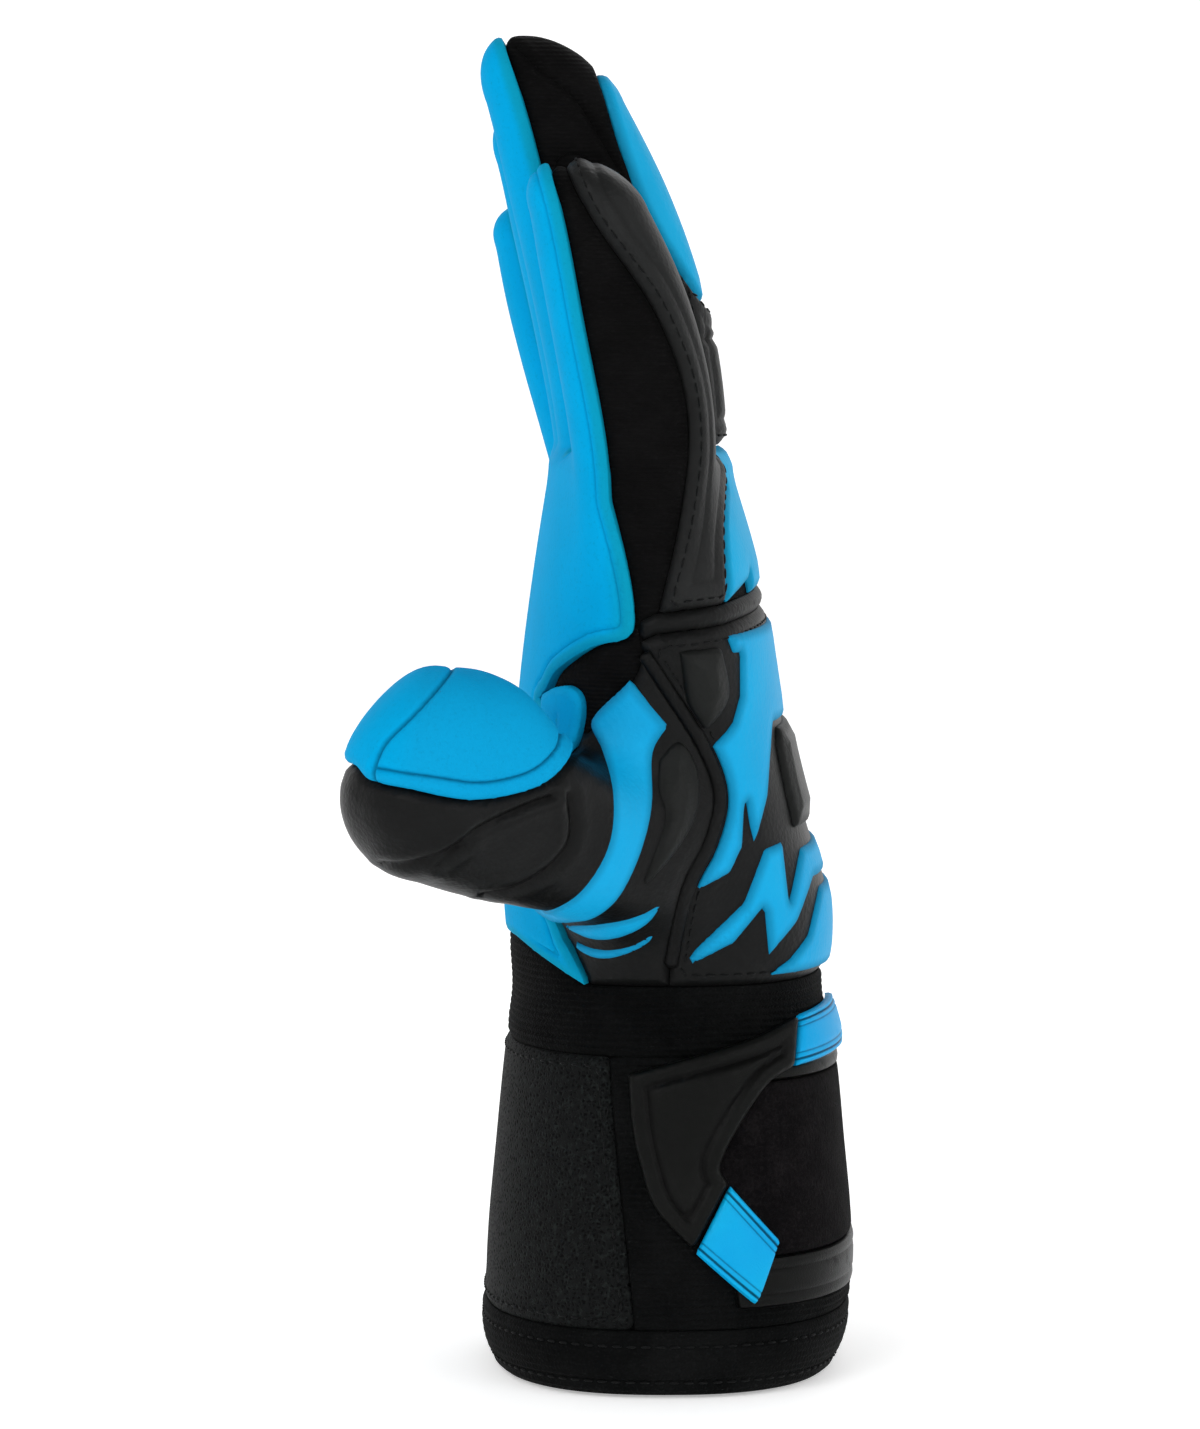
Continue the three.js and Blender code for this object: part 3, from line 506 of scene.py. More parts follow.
def panel(name, net, faces, value, profile, wall, relief=None, marks=(), thread=None, crease=40, rounds=3,
          inset=0.08):
    """A closed panel of the skin where value is below 0. The profile gives its height by the distance
    from its edge, relief adds to it, and marks are the lines of the relief, each a measure and its levels.
    Wall is its thickness and thread the distance from its edge of a line of stitches."""
    value = value + inset
    faces = faces[(value[faces] < 0).any(axis=1)]
    rows, faces, value = divide(net, faces, value)
    faces = faces[(value[faces].max(axis=1) <= 0) & (value[faces].min(axis=1) < 0)]
    rows, faces = tidy_net(rows, faces)
    edges = open_edges(faces)
    rows = np.hstack([rows, edge_distance(rows, edges)[:, None]])
    levels = [depth for depth, _ in profile[1:1 + rounds]]
    if thread:
        levels.append(thread)
    chains = []
    for level in levels:
        rows, faces, value = divide(rows, faces, rows[:, 6] - level)
        if level == thread:
            deeper = (value[faces].min(axis=1) >= 0) & (value[faces].max(axis=1) > 0)
            chains = chains_along(faces, value == 0, deeper)
    for measure, steps in marks:
        for level in steps:
            rows, faces, value = divide(rows, faces, measure(rows) - level)
    edges = open_edges(faces)
    depths, heights = np.array(profile).T
    height = np.interp(rows[:, 6], depths, heights)
    places, normals = rows[:, :3], rows[:, 3:6]
    # Painted shade mask: how deep each place lies in a pressed groove of the relief, kept as the 'low'
    # attribute that darkens the grooves in the finishes.
    low = np.zeros(len(rows))
    if relief is not None:
        carved = relief(places, normals, rows[:, 6])
        height = height + carved
        low = np.clip(-carved, 0, 1)
    top = places + normals * height[:, None]
    base = places - normals * wall
    count = len(rows)
    lip = top[edges[:, 0]] * 0.94 + base[edges[:, 0]] * 0.06
    lip_of = np.zeros(count, int)
    lip_of[edges[:, 0]] = 2 * count + np.arange(len(edges))
    a, b = edges.T
    strip = [np.stack(corners, axis=1) for corners in (
        (b, a, lip_of[a]), (b, lip_of[a], lip_of[b]),
        (lip_of[b], lip_of[a], a + count), (lip_of[b], a + count, b + count))]
    points = np.vstack([top, base, lip])
    mesh = bpy.data.meshes.new(name)
    mesh.from_pydata(points * MM, [], np.vstack([faces, faces[:, ::-1] + count] + strip))
    mesh.validate()
    mesh.shade_smooth()
    mesh.set_sharp_from_angle(angle=math.radians(crease))
    edge = np.concatenate([rows[:, 6], np.zeros(count + len(lip))])
    side = np.concatenate([np.zeros(count), np.ones(count + len(lip))])
    facing = np.concatenate([-normals[:, 0], np.zeros(count + len(lip))])
    low = np.concatenate([low, np.zeros(count + len(lip))])
    # The 'low' attribute carries the painted shade of the grooves.
    for title, numbers in (("edge", edge), ("side", side), ("facing", facing), ("low", low)):
        mesh.attributes.new(title, "FLOAT", "POINT").data.foreach_set("value", numbers.astype(np.float32))
    piece = bpy.data.objects.new(name, mesh)
    bpy.context.scene.collection.objects.link(piece)
    STITCH_PATHS.extend(np.hstack([top[chain], normals[chain]]) for chain in chains)
    return piece


STITCH_PATHS = []


def dress(piece, nodes, material):
    """The piece takes the place of its plain solid, rides with it and gets its finish."""
    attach(piece, "root")
    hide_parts(*nodes)
    piece.data.materials.clear()
    piece.data.materials.append(material)


class Wire:
    """A node socket that can be used in an expression: each operator adds a Math node."""

    def __init__(self, tree, socket):
        self.tree, self.socket = tree, socket

    def math(self, kind, *values):
        return node(self.tree, "ShaderNodeMath", {"operation": kind}, *values)

    def __add__(self, other):
        return self.math("ADD", self, other)

    def __sub__(self, other):
        return self.math("SUBTRACT", self, other)

    def __mul__(self, other):
        return self.math("MULTIPLY", self, other)

    def __truediv__(self, other):
        return self.math("DIVIDE", self, other)

    def __pow__(self, other):
        return self.math("POWER", self, other)

    def __rsub__(self, other):
        return self.math("SUBTRACT", other, self)

    __radd__ = __add__
    __rmul__ = __mul__


def node(tree, kind, settings, *values, out=0, **named):
    """Any node: its settings come first, then what its sockets hold or are joined to."""
    made = tree.nodes.new(kind)
    for key, setting in settings.items():
        setattr(made, key, setting)
    sockets = list(zip([s for s in made.inputs if s.enabled], values))
    sockets += [(made.inputs[key.replace("_", " ")], value) for key, value in named.items()]
    for socket, value in sockets:
        if isinstance(value, Wire):
            tree.links.new(value.socket, socket)
        elif value is not None:
            socket.default_value = value
    return Wire(tree, made.outputs[out])


def ink(red, green, blue):
    """A screen colour, 0 to 255, as the light it stands for."""
    shares = [c / 255 for c in (red, green, blue)]
    return tuple([c / 12.92 if c <= 0.04045 else ((c + 0.055) / 1.055)**2.4 for c in shares] + [1.0])


def dimmed(colour, share):
    """A colour made darker, or lighter with a share above 1."""
    return tuple([c * share for c in colour[:3]] + [1.0])


def new_material(name, **constants):
    """An empty material: its tree, its shader with the constant numbers set, and its coordinates."""
    material = bpy.data.materials.new(name)
    material.use_nodes = True
    tree = material.node_tree
    shader = tree.nodes["Principled BSDF"]
    for key, value in constants.items():
        shader.inputs[key.replace("_", " ")].default_value = value
    place = node(tree, "ShaderNodeTexCoord", {}, out=3)
    return material, tree, shader, place


def mixed(tree, mask, first, second):
    """A colour between two, by a mask from 0 to 1."""
    settings = {"data_type": "RGBA", "clamp_factor": True}
    return node(tree, "ShaderNodeMix", settings, mask, first, second, out=2)


def attribute(tree, name):
    return node(tree, "ShaderNodeAttribute", {"attribute_name": name}, out=2)


def between(tree, value, low, high):
    """0 below low, 1 above high and a soft step between them."""
    return node(tree, "ShaderNodeMapRange", {"interpolation_type": "SMOOTHSTEP"}, value, low, high, 0.0, 1.0)


def noise(tree, place, scale, detail=2.0, roughness=0.5):
    return node(tree, "ShaderNodeTexNoise", {}, Vector=place, Scale=scale, Detail=detail, Roughness=roughness)


def bump(tree, shader, height, distance, strength=1.0):
    """Fine relief, in metres."""
    made = node(tree, "ShaderNodeBump", {}, Height=height, Distance=distance, Strength=strength)
    tree.links.new(made.socket, shader.inputs["Normal"])


def feed(tree, shader, **wires):
    for key, wire in wires.items():
        tree.links.new(wire.socket, shader.inputs[key.replace("_", " ")])


def latex_material(name, face, side):
    """Latex foam: a matt, finely open skin, a duller, sponge-like cut side, and painted shade in its pressed
    grooves.
    """
    material, tree, shader, place = new_material(name, Specular_IOR_Level=0.02)
    cloud = noise(tree, place, 60.0, 3.0)
    pores = noise(tree, place, 1500.0, 2.0, 0.6)
    cut = node(tree, "ShaderNodeMath", {"operation": "MAXIMUM"}, attribute(tree, "side"),
               1.0 - between(tree, attribute(tree, "facing"), 0.15, 0.5))
    skin = mixed(tree, between(tree, cloud, 0.35, 0.7), face, dimmed(face, 0.95))
    edge_wear = 1.0 - between(tree, attribute(tree, "edge"), 1.0, 2.6)
    skin = mixed(tree, edge_wear * 0.75, skin, side)
    colour = mixed(tree, cut, skin, side)
    # Painted shade: the pressed grooves, by the 'low' attribute, are darkened towards a deep teal.
    colour = mixed(tree, between(tree, attribute(tree, "low"), 0.15, 0.9) * 0.75, colour,
                   dimmed(side, 0.3))
    deep = dimmed(side, 0.5)
    colour = mixed(tree, between(tree, pores, 0.52, 0.8) * 0.22, colour, deep)
    feed(tree, shader, Base_Color=colour, Roughness=0.72 + cut * 0.18 - cloud * 0.08)
    bump(tree, shader, pores * (0.4 + cut * 0.6) + cloud * 0.5, 0.00018)
    return material


WALL = 1.8
LATEX_FACE = ink(1, 154, 208)
LATEX_SIDE = ink(8, 140, 172)
latex = latex_material("blue_latex_foam", LATEX_FACE, LATEX_SIDE)


def edge_of(rows):
    return rows[:, 6]


def palm_relief(places, normals, depth):
    """The line pressed in beside the cut edge, where the foam is bonded to its backing."""
    beside = np.clip((-25 - places[:, 1]) / 6, 0, 1)
    return -0.45 * beside * np.exp(-((depth - 2.7) / 0.4)**2)


palm = panel("palm_foam", HAND, HAND_FACES, np.maximum(palm_zone, above_wrist),
             ((0, 0.1), (0.45, 0.55), (1.1, 0.75), (4, 0.8)), WALL, relief=palm_relief,
             marks=[(edge_of, (2.3, 2.7, 3.1))])
dress(palm, ["palm_latex"], latex)

# Thumb latex. The same foam as the palm, cut as a piece of its own, so that it wraps the thumb's face and
# runs over the tip. A pressed line follows its lower edge.
THUMB_LATEX_FACE = ink(1, 155, 209)
thumb_foam = latex_material("thumb_latex_foam", THUMB_LATEX_FACE, ink(9, 148, 199))


def eased(points, steps=5):
    """A soft open line through points."""
    points = np.array(points, float)
    at = np.arange(len(points))
    fine = np.linspace(0, len(points) - 1, steps * (len(points) - 1) + 1)
    return np.stack([soft_rows(fine, at, points[:, k]) for k in (0, 1)], axis=1)


TIP_SEAM = eased([(-41.5, 157), (-43.7, 152), (-50.2, 144.6), (-56.2, 138.6), (-58.6, 133.7), (-59, 131)])
PINCH_LINE = eased([(-58, 133.5), (-47, 132.1), (-37.9, 130.8), (-29, 132.3), (-23.8, 136.2), (-22.7, 140.4)])


def line_side(places, line):
    """Distance in the side view from an open line, below 0 on its right."""
    x, z = places[:, 0], places[:, 2]
    nearest, side = np.full(len(x), 1e9), np.ones(len(x))
    for (ax, az), (bx, bz) in zip(line[:-1], line[1:]):
        run_x, run_z = bx - ax, bz - az
        along = np.clip(((x - ax) * run_x + (z - az) * run_z) / (run_x**2 + run_z**2), 0, 1)
        apart = (x - ax - along * run_x)**2 + (z - az - along * run_z)**2
        side = np.where(apart < nearest, np.where(run_x * (z - az) > run_z * (x - ax), 1, -1), side)
        nearest = np.minimum(nearest, apart)
    return side * np.sqrt(nearest)


def groove(away, depth, width, swell=0.0):
    """A pressed line with swollen sides, by the distance from it."""
    sides = np.exp(-((np.abs(away) - 3 * width) / (1.7 * width))**2)
    return swell * sides - depth * np.exp(-(away / width)**2)


def tip_side(rows):
    return line_side(rows, TIP_SEAM)


def pinch_side(rows):
    return line_side(rows, PINCH_LINE)


def thumb_relief(places, normals, depth):
    """The pinched line a little way in from the edge, and the seam where the foam folds over the tip."""
    near = np.clip((thumb_place(*places.T)[1] + 12) / 6, 0, 1)
    seam, pinch = (groove(side(places), 0.8, 0.55, 0.35) for side in (tip_side, pinch_side))
    return near * np.minimum(seam, pinch)


thumb_face = panel("thumb_foam", HAND, HAND_FACES, np.maximum(thumb_latex_zone, above_wrist),
                   ((0, -0.2), (0.5, 0.5), (1.4, 0.9), (5, 1.0)), WALL, relief=thumb_relief,
                   marks=[(tip_side, (-1.2, -0.5, 0, 0.5, 1.2)), (pinch_side, (-1.2, -0.5, 0, 0.5, 1.2))])
dress(thumb_face, ["thumb_latex"], thumb_foam)

# Web gusset. Black stretch knit let in between the thumb and the palm, so that the thumb can open.
WEB = curved(on_hand([
    (-0.62, 0.5), (-0.34, 0.51), (-0.16, 0.6), (-0.11, 0.66), (-0.125, 0.68),
    (-0.14, 0.72), (-0.2, 0.75), (-0.62, 0.75),
]), sharp=(0, 7))
web_zone = less(zone(HAND, WEB, -FAR, NEAR_SIDE), thumb_latex_zone, palm_zone)


def knit_material(name, colour, pitch):
    """Fine weft knit: rows of small loops, matt, with a little sheen across the light."""
    material, tree, shader, place = new_material(name, Specular_IOR_Level=0.05)
    rows = node(tree, "ShaderNodeTexWave", {"bands_direction": "Z"}, Vector=place, Scale=0.314 / pitch,
                Distortion=0.6, Detail=1.0)
    loops = node(tree, "ShaderNodeTexVoronoi", {}, Vector=place, Scale=1 / pitch)
    cloud = noise(tree, place, 90.0, 2.0)
    base = mixed(tree, between(tree, cloud, 0.3, 0.75), colour, dimmed(colour, 1.9))
    feed(tree, shader, Base_Color=base, Roughness=0.86 - cloud * 0.1)
    bump(tree, shader, rows * 0.5 + loops * 0.5, 0.00022)
    return material


knit = knit_material("black_knit", ink(6, 6, 6), 0.0009)
web = panel("web_knit", HAND, HAND_FACES, np.maximum(web_zone, above_wrist),
            ((0, -1.6), (0.6, -1.3), (1.8, -0.9), (6, -0.8)), WALL)
dress(web, ["web_gusset"], knit)

# Thumb back. A padded panel of coated fabric over foam, from the wrist to the thumb's tip, with lens
# shapes welded down into it and soft creases where it bends at the base of the thumb.
BAND_LINE = np.array([(-0.125, 0.68), (-0.06, 0.695), (0.22, 0.71), (0.38, 0.73), (2, 0.73)])
BAND_HEIGHT = 0.04
BAND = on_hand(np.vstack([BAND_LINE, BAND_LINE[::-1] + (0, BAND_HEIGHT)]))
SEAM_LINE = [(-0.11, 0.66), (-0.04, 0.61), (0.13, 0.48), (0.2, 0.38), (0.16, 0.29), (0.07, 0.2), (0, 0.04)]
SEAM = eased(SEAM_LINE)
ABOVE_BAND = on_hand(np.vstack([[(-2, 0.7), (-0.13, 0.71)], BAND_LINE + (0, BAND_HEIGHT), [(2, 3), (-2, 3)]]))
band_zone = zone(HAND, BAND)
above_band = zone(HAND, ABOVE_BAND)
BACK_NEAR = on_hand(np.vstack([BAND_LINE, [(2, -0.1), (-0.02, -0.1)], SEAM[::-1]]))
BACK_FAR = on_hand([(-0.2, -0.1), (2, -0.1), (2, 0.73), (0.38, 0.73), (0.22, 0.71), (-0.2, 0.69)])
backhand_zone = less(np.minimum(zone(HAND, BACK_NEAR, -FAR, NEAR_SIDE),
                                zone(HAND, BACK_FAR, NEAR_SIDE - OVERLAP, FAR)), palm_zone, band_zone)
mound_zone = np.maximum(HAND[:, 2] - PALM_FOOT - 0.7 * PALM_LENGTH, HAND[:, 1] - NEAR_SIDE)
thumb_back_zone = less(mound_zone, thumb_latex_zone, palm_zone, web_zone, backhand_zone, band_zone,
                       above_band)


def leather_material(name, colour, light, gloss, grain=0.0011):
    """Coated fabric: fine leather grain, satin gloss, paler where rubbed, darker by its sewn edges, painted
    shade in grooves.
    """
    material, tree, shader, place = new_material(name, Specular_IOR_Level=0.12)
    cells = node(tree, "ShaderNodeTexVoronoi", {"feature": "F1"}, Vector=place, Scale=1 / grain)
    fine = noise(tree, place, 2200.0, 2.0, 0.6)
    cloud = noise(tree, place, 45.0, 3.0)
    seam = 1.0 - between(tree, attribute(tree, "edge"), 0.2, 2.5)
    worn = between(tree, cloud, 0.45, 0.75)
    base = mixed(tree, worn * 0.6, colour, light)
    # Darker towards the panel's sewn edges.
    base = mixed(tree, seam * 0.6, base, dimmed(colour, 0.45))
    # Painted shade: the pressed grooves, by the 'low' attribute, are darkened nearly to black.
    base = mixed(tree, between(tree, attribute(tree, "low"), 0.1, 0.7) * 0.8, base,
                 dimmed(colour, 0.2))
    feed(tree, shader, Base_Color=base, Roughness=gloss + cloud * 0.16 + seam * 0.15)
    bump(tree, shader, cells * 0.6 + fine * 0.4, 0.00012)
    return material


black_pu = leather_material("black_coated_fabric", ink(7, 8, 8), ink(14, 15, 15), 0.32)

WELD_LINES = [eased(points) for points in (
    [(-46.5, 114.2), (-40.1, 120.6), (-30.4, 124.9), (-24, 127)],
    [(-20.8, 127), (-20.3, 119.5), (-22.9, 114.2), (-30.4, 108.8), (-38, 107.2)],
    [(-57.5, 114.2), (-51.8, 114.7), (-41.2, 118.5)],
)]


def weld_side(line):
    def measure(rows):
        return line_side(rows, line)
    return measure


def thumb_back_relief(places, normals, depth):
    """Welded lines that swell the foam beside them."""
    height = sum(groove(line_side(places, line), 0.75, 0.7, 0.3) for line in WELD_LINES)
    return height * np.clip(depth / 3, 0, 1)


thumb_back = panel("thumb_back_pad", HAND, HAND_FACES, np.maximum(thumb_back_zone, above_wrist),
                   ((0, -1.6), (0.7, -0.9), (1.8, -0.2), (5, 0.4), (9, 0.6)), WALL, relief=thumb_back_relief,
                   marks=[(weld_side(line), (-1.2, -0.5, 0, 0.5, 1.2)) for line in WELD_LINES])
dress(thumb_back, ["thumb_back"], black_pu)

# Backhand panel. One padded panel of coated fabric over the whole back of the hand, turned and sewn at its
# edges, and the ground for the welded colour flashes.
backhand = panel("backhand_pad", HAND, HAND_FACES, np.maximum(backhand_zone, above_wrist),
                 ((0, -1.4), (0.7, -0.8), (1.6, -0.3), (5, 0.1)), WALL, thread=2.6)
dress(backhand, ["backhand_panel"], black_pu)

# Knuckle band. A narrow padded bar across the knuckles, under the roots of the fingers.
knuckles = panel("knuckle_bar", HAND, HAND_FACES, np.maximum(less(band_zone, palm_zone), above_wrist),
                 ((0, -1.4), (0.6, -0.8), (1.4, -0.4), (2.2, -0.25)), WALL)
dress(knuckles, ["knuckle_band"], black_pu)

# Finger gussets. The sides of each finger, in the same black stretch knit as the web, sewn between the
# latex front and the padded back.
SIDE_PAD_EDGE = ((-0.5, 0.05), (-0.08, 0.29), (0.32, 0.35), (0.52, 0.26), (0.84, -0.02), (1.2, 0.02))
MIDDLE_PAD_EDGE = ((-0.5, 0.05), (-0.08, 0.29), (0.32, 0.36), (0.48, 0.36), (0.61, 0.29), (0.73, 0.29),
                   (0.88, 0.34), (1.2, 0.4))
PAD_EDGES = {"index": SIDE_PAD_EDGE, "middle": MIDDLE_PAD_EDGE, "ring": MIDDLE_PAD_EDGE,
             "little": SIDE_PAD_EDGE}
TIP_FOLD = eased([(-32, 278.5), (-26, 272.5), (-19.0, 266.4), (-12.5, 256.1), (-8.8, 249.5), (-7.5, 243)])


def fold_side(rows):
    return line_side(rows, TIP_FOLD)


def tip_fold(places, normals, depth):
    """The folded seam that runs over the tip of the longer fingers."""
    return groove(line_side(places, TIP_FOLD), 0.6, 0.55, 0.4)


for name in FINGERS:
    own = np.maximum(finger_cell(HAND, name), above_band)
    back_strip = finger_strip(HAND, name, PAD_EDGES[name], 1)
    gusset = panel(name + "_side_knit", HAND, HAND_FACES,
                   less(own, palm_zone, np.maximum(back_strip, finger_cell(HAND, name)), web_zone),
                   ((0, -1.6), (0.6, -1.3), (1.6, -0.9), (5, -0.7)), WALL,
                   relief=tip_fold if name in ("middle", "ring") else None,
                   marks=[(fold_side, (-1, 0, 1))] if name in ("middle", "ring") else ())
    dress(gusset, [name + "_gusset"], knit)

# Finger back pads. Coated fabric over foam, stitched down in short padded blocks that let the finger bend.
finger_pad = leather_material("finger_coated_fabric", ink(22, 23, 23), ink(32, 33, 33), 0.38)
TIP_FOOT = 0.53
TIP_SLANT = 1.4
BASE_TOP = 0.06


def back_of(name):
    own = np.maximum(finger_cell(HAND, name), above_band)
    return less(np.maximum(own, finger_strip(HAND, name, PAD_EDGES[name], 1)), palm_zone)


def channels(name):
    """Sewn channels across a finger's back, evenly up its length."""
    length = FINGERS[name][0]

    def relief(places, normals, depth):
        rise = (places[:, 2] - PALM_TOP) / length
        height = 0.35 * np.exp(-((depth - 2.6) / 1.0)**2) - 0.4 * np.exp(-((depth - 5.2) / 0.8)**2)
        for at in (() if name == "index" else (0.3, 0.62)):
            height -= 0.8 * np.exp(-((rise - at) * length / 0.9)**2)
        return height * np.clip(depth / 2, 0, 1)
    return relief


# The blue base piece of the middle finger comes round to the index finger's side, cut by a dark flash
BASE_SIDE = curved([(12.4, 192), (11.4, 180), (11.8, 170), (12.2, 163.5), (18.6, 169), (60, 169), (60, 192)],
                   sharp=(0, 3, 4, 5, 6))
BASE_CORNER = np.array([(15.2, 161.4), (16.5, 159), (60, 159), (60, 165.5), (20.4, 165.5)])
base_side = np.maximum(np.minimum(zone(HAND, BASE_SIDE, -FAR, -0.25 * PALM_BREADTH),
                                  zone(HAND, BASE_CORNER, -FAR, -0.25 * PALM_BREADTH)), above_band)

for name in FINGERS:
    value = back_of(name)
    if name == "index":
        value = less(value, base_side)
    if name in ("middle", "ring"):
        length = FINGERS[name][0]
        rise = (HAND[:, 2] - PALM_TOP) / length
        slant = HAND[:, 2] - PALM_TOP - TIP_FOOT * length + TIP_SLANT * (HAND[:, 0] + 2)
        value = np.maximum(value, np.maximum(slant * 0.58, (BASE_TOP - rise) * length))
    pad = panel(name + "_pad", HAND, HAND_FACES, value,
                ((0, -1.5), (0.7, -0.6), (1.8, 0.1), (5, 0.5)), WALL, relief=channels(name),
                marks=[(edge_of, (4.2, 5.2, 6.2))], thread=1.8)
    dress(pad, [name + "_back_pad"], finger_pad)

# Tip and base panels of the two middle fingers. Blue coated fabric, welded to the same foam backing.
blue_pu = leather_material("blue_coated_fabric", ink(6, 155, 203), ink(12, 164, 212), 0.5)
for name in ("middle", "ring"):
    length = FINGERS[name][0]
    rise = (HAND[:, 2] - PALM_TOP) / length
    slant = HAND[:, 2] - PALM_TOP - TIP_FOOT * length + TIP_SLANT * (HAND[:, 0] + 2)
    for part, limit in (("tip", -slant * 0.58), ("base", (rise - BASE_TOP) * length)):
        value = np.maximum(back_of(name), limit)
        if (name, part) == ("middle", "base"):
            value = np.minimum(value, np.maximum(base_side, limit))
        blue = panel(name + "_" + part, HAND, HAND_FACES, value,
                     ((0, -1.4), (0.7, -0.6), (1.6, -0.1), (5, 0.2)), WALL)
        dress(blue, [name + "_" + part + "_panel"], blue_pu)

# Welded patches. Thin coated shapes, cut to an outline and welded on the backhand and the thumb's mound:
# blue ones for the flashes and the arc, padded black ones for the lens and the knuckles.
patch_blue = leather_material("blue_welded_film", ink(2, 154, 206), ink(8, 163, 214), 0.46)
lens_black = leather_material("grey_welded_pad", ink(18, 20, 19), ink(28, 30, 29), 0.3)
PATCHES = {
    "thumb_arc": (-2, -0.15, 1.2, patch_blue, (1, 2, 8), [
        (-0.31, 0.53), (-0.16, 0.61), (-0.01, 0.52), (-0.07, 0.465), (-0.08, 0.36), (-0.15, 0.25),
        (-0.25, 0.175), (-0.43, 0.125), (-0.58, 0.15), (-0.49, 0.175), (-0.36, 0.22), (-0.26, 0.3),
        (-0.24, 0.39), (-0.28, 0.48)]),
    "thumb_lens_pad": (-2, -0.15, 1.8, lens_black, (0, 5), [
        (-0.055, 0.455), (0.03, 0.49), (0.1, 0.44), (0.105, 0.36), (0.03, 0.29), (-0.14, 0.2),
        (-0.035, 0.34), (-0.06, 0.4)]),
    "heel_crescent_upper": (-2, -0.15, 1.2, patch_blue, (0, 4), [
        (-0.03, 0.185), (-0.09, 0.14), (-0.2, 0.108), (-0.31, 0.1), (-0.43, 0.122), (-0.3, 0.14),
        (-0.15, 0.158)]),
    "heel_crescent_lower": (-2, -0.15, 1.2, patch_blue, (0, 3), [
        (-0.4, 0.094), (-0.28, 0.082), (-0.156, 0.094), (-0.05, 0.125), (-0.09, 0.095), (-0.18, 0.069),
        (-0.27, 0.058), (-0.35, 0.069)]),
    "knuckle_pad": (-2, -0.15, 1.8, lens_black, (0, 1), [
        (0.03, 0.665), (0.19, 0.67), (0.22, 0.57), (0.12, 0.51), (0.06, 0.57)]),
    "far_knuckle_pad": (0.15, 2, 1.8, lens_black, (0, 1), [
        (0.03, 0.665), (0.19, 0.67), (0.22, 0.57), (0.12, 0.51), (0.06, 0.57)]),
    "flash_upper": (-2, 2, 1.2, patch_blue, None, [
        (0.22, 0.69), (0.24, 0.655), (0.27, 0.655), (0.27, 0.57), (0.24, 0.52), (0.15, 0.47), (0.22, 0.38),
        (0.2, 0.33), (0.1, 0.24), (0.1, 0.2), (0.23, 0.23), (0.28, 0.28), (0.29, 0.38), (0.31, 0.32),
        (0.33, 0.28), (0.38, 0.37), (0.4, 0.51), (0.6, 0.51), (0.6, 0.7), (0.4, 0.7)]),
    "back_wedge_pad": (-0.24, 0.24, 1.8, lens_black, None, [
        (0.42, 0.5), (0.42, 0.3), (0.8, 0.3), (0.8, 0.5)]),
    "flash_lower": (-2, 2, 1.2, patch_blue, None, [
        (0.44, 0.28), (0.47, 0.16), (0.52, 0.26), (0.8, 0.28), (0.8, 0.2), (0.57, 0.2), (0.5, 0.12),
        (0.39, 0.06), (0.37, 0.16), (0.25, 0.09), (0.045, 0.04), (0.1, 0.08), (0.29, 0.17), (0.37, 0.27)]),
    "heel_flash": (-2, 2, 1.2, patch_blue, None, [
        (0.6, 0.18), (0.8, 0.18), (0.8, 0.02), (0.39, 0.02), (0.48, 0.05), (0.55, 0.09)]),
}
BINDING_WIDTH = 3.0
seam_mm = on_hand(SEAM)
seam_run = np.gradient(seam_mm, axis=0)
seam_side = np.stack([-seam_run[:, 1], seam_run[:, 0]], axis=1) / np.linalg.norm(seam_run, axis=1)[:, None]
RIBBON = np.vstack([seam_mm + seam_side * BINDING_WIDTH / 2, (seam_mm - seam_side * BINDING_WIDTH / 2)[::-1]])
binding_zone = zone(HAND, RIBBON, -FAR, NEAR_SIDE)
finger_rise = PALM_TOP - 2 - HAND[:, 2]
for title, (y_from, y_to, thickness, finish, sharp, shares) in PATCHES.items():
    outline = on_hand(shares) if sharp is None else curved(on_hand(shares), sharp=sharp)
    value = less(zone(HAND, outline, y_from * PALM_BREADTH, y_to * PALM_BREADTH), binding_zone)
    value = np.maximum(np.maximum(value, above_wrist), -finger_rise)
    crown = 1.0 if thickness > 1.5 else 0.15
    rim = thickness * 0.75
    patch = panel(title + "_weld", HAND, HAND_FACES, value,
                  ((0, 0.2), (0.35, thickness * 0.55), (0.9, rim), (4, rim + crown)), 0.6, crease=60)
    slot = "blue_pu" if finish == patch_blue else "black_pu"
    dress(patch, [title], finish)

# Seam binding. A folded tape that covers the seam between the thumb's mound and the backhand.
binding = panel("seam_tape", HAND, HAND_FACES, np.maximum(binding_zone, above_wrist),
                ((0, -0.4), (0.4, 0.1), (0.9, 0.35), (1.5, 0.4)), 0.9, crease=60)
dress(binding, ["seam_binding"], black_pu)

# Wrist elastic. A wide band of ribbed elastic at the narrowest place, sewn to the hand above it and to the
# cuff below. The cuff's panels are patches of a finer net, so that each rib is a real ridge.


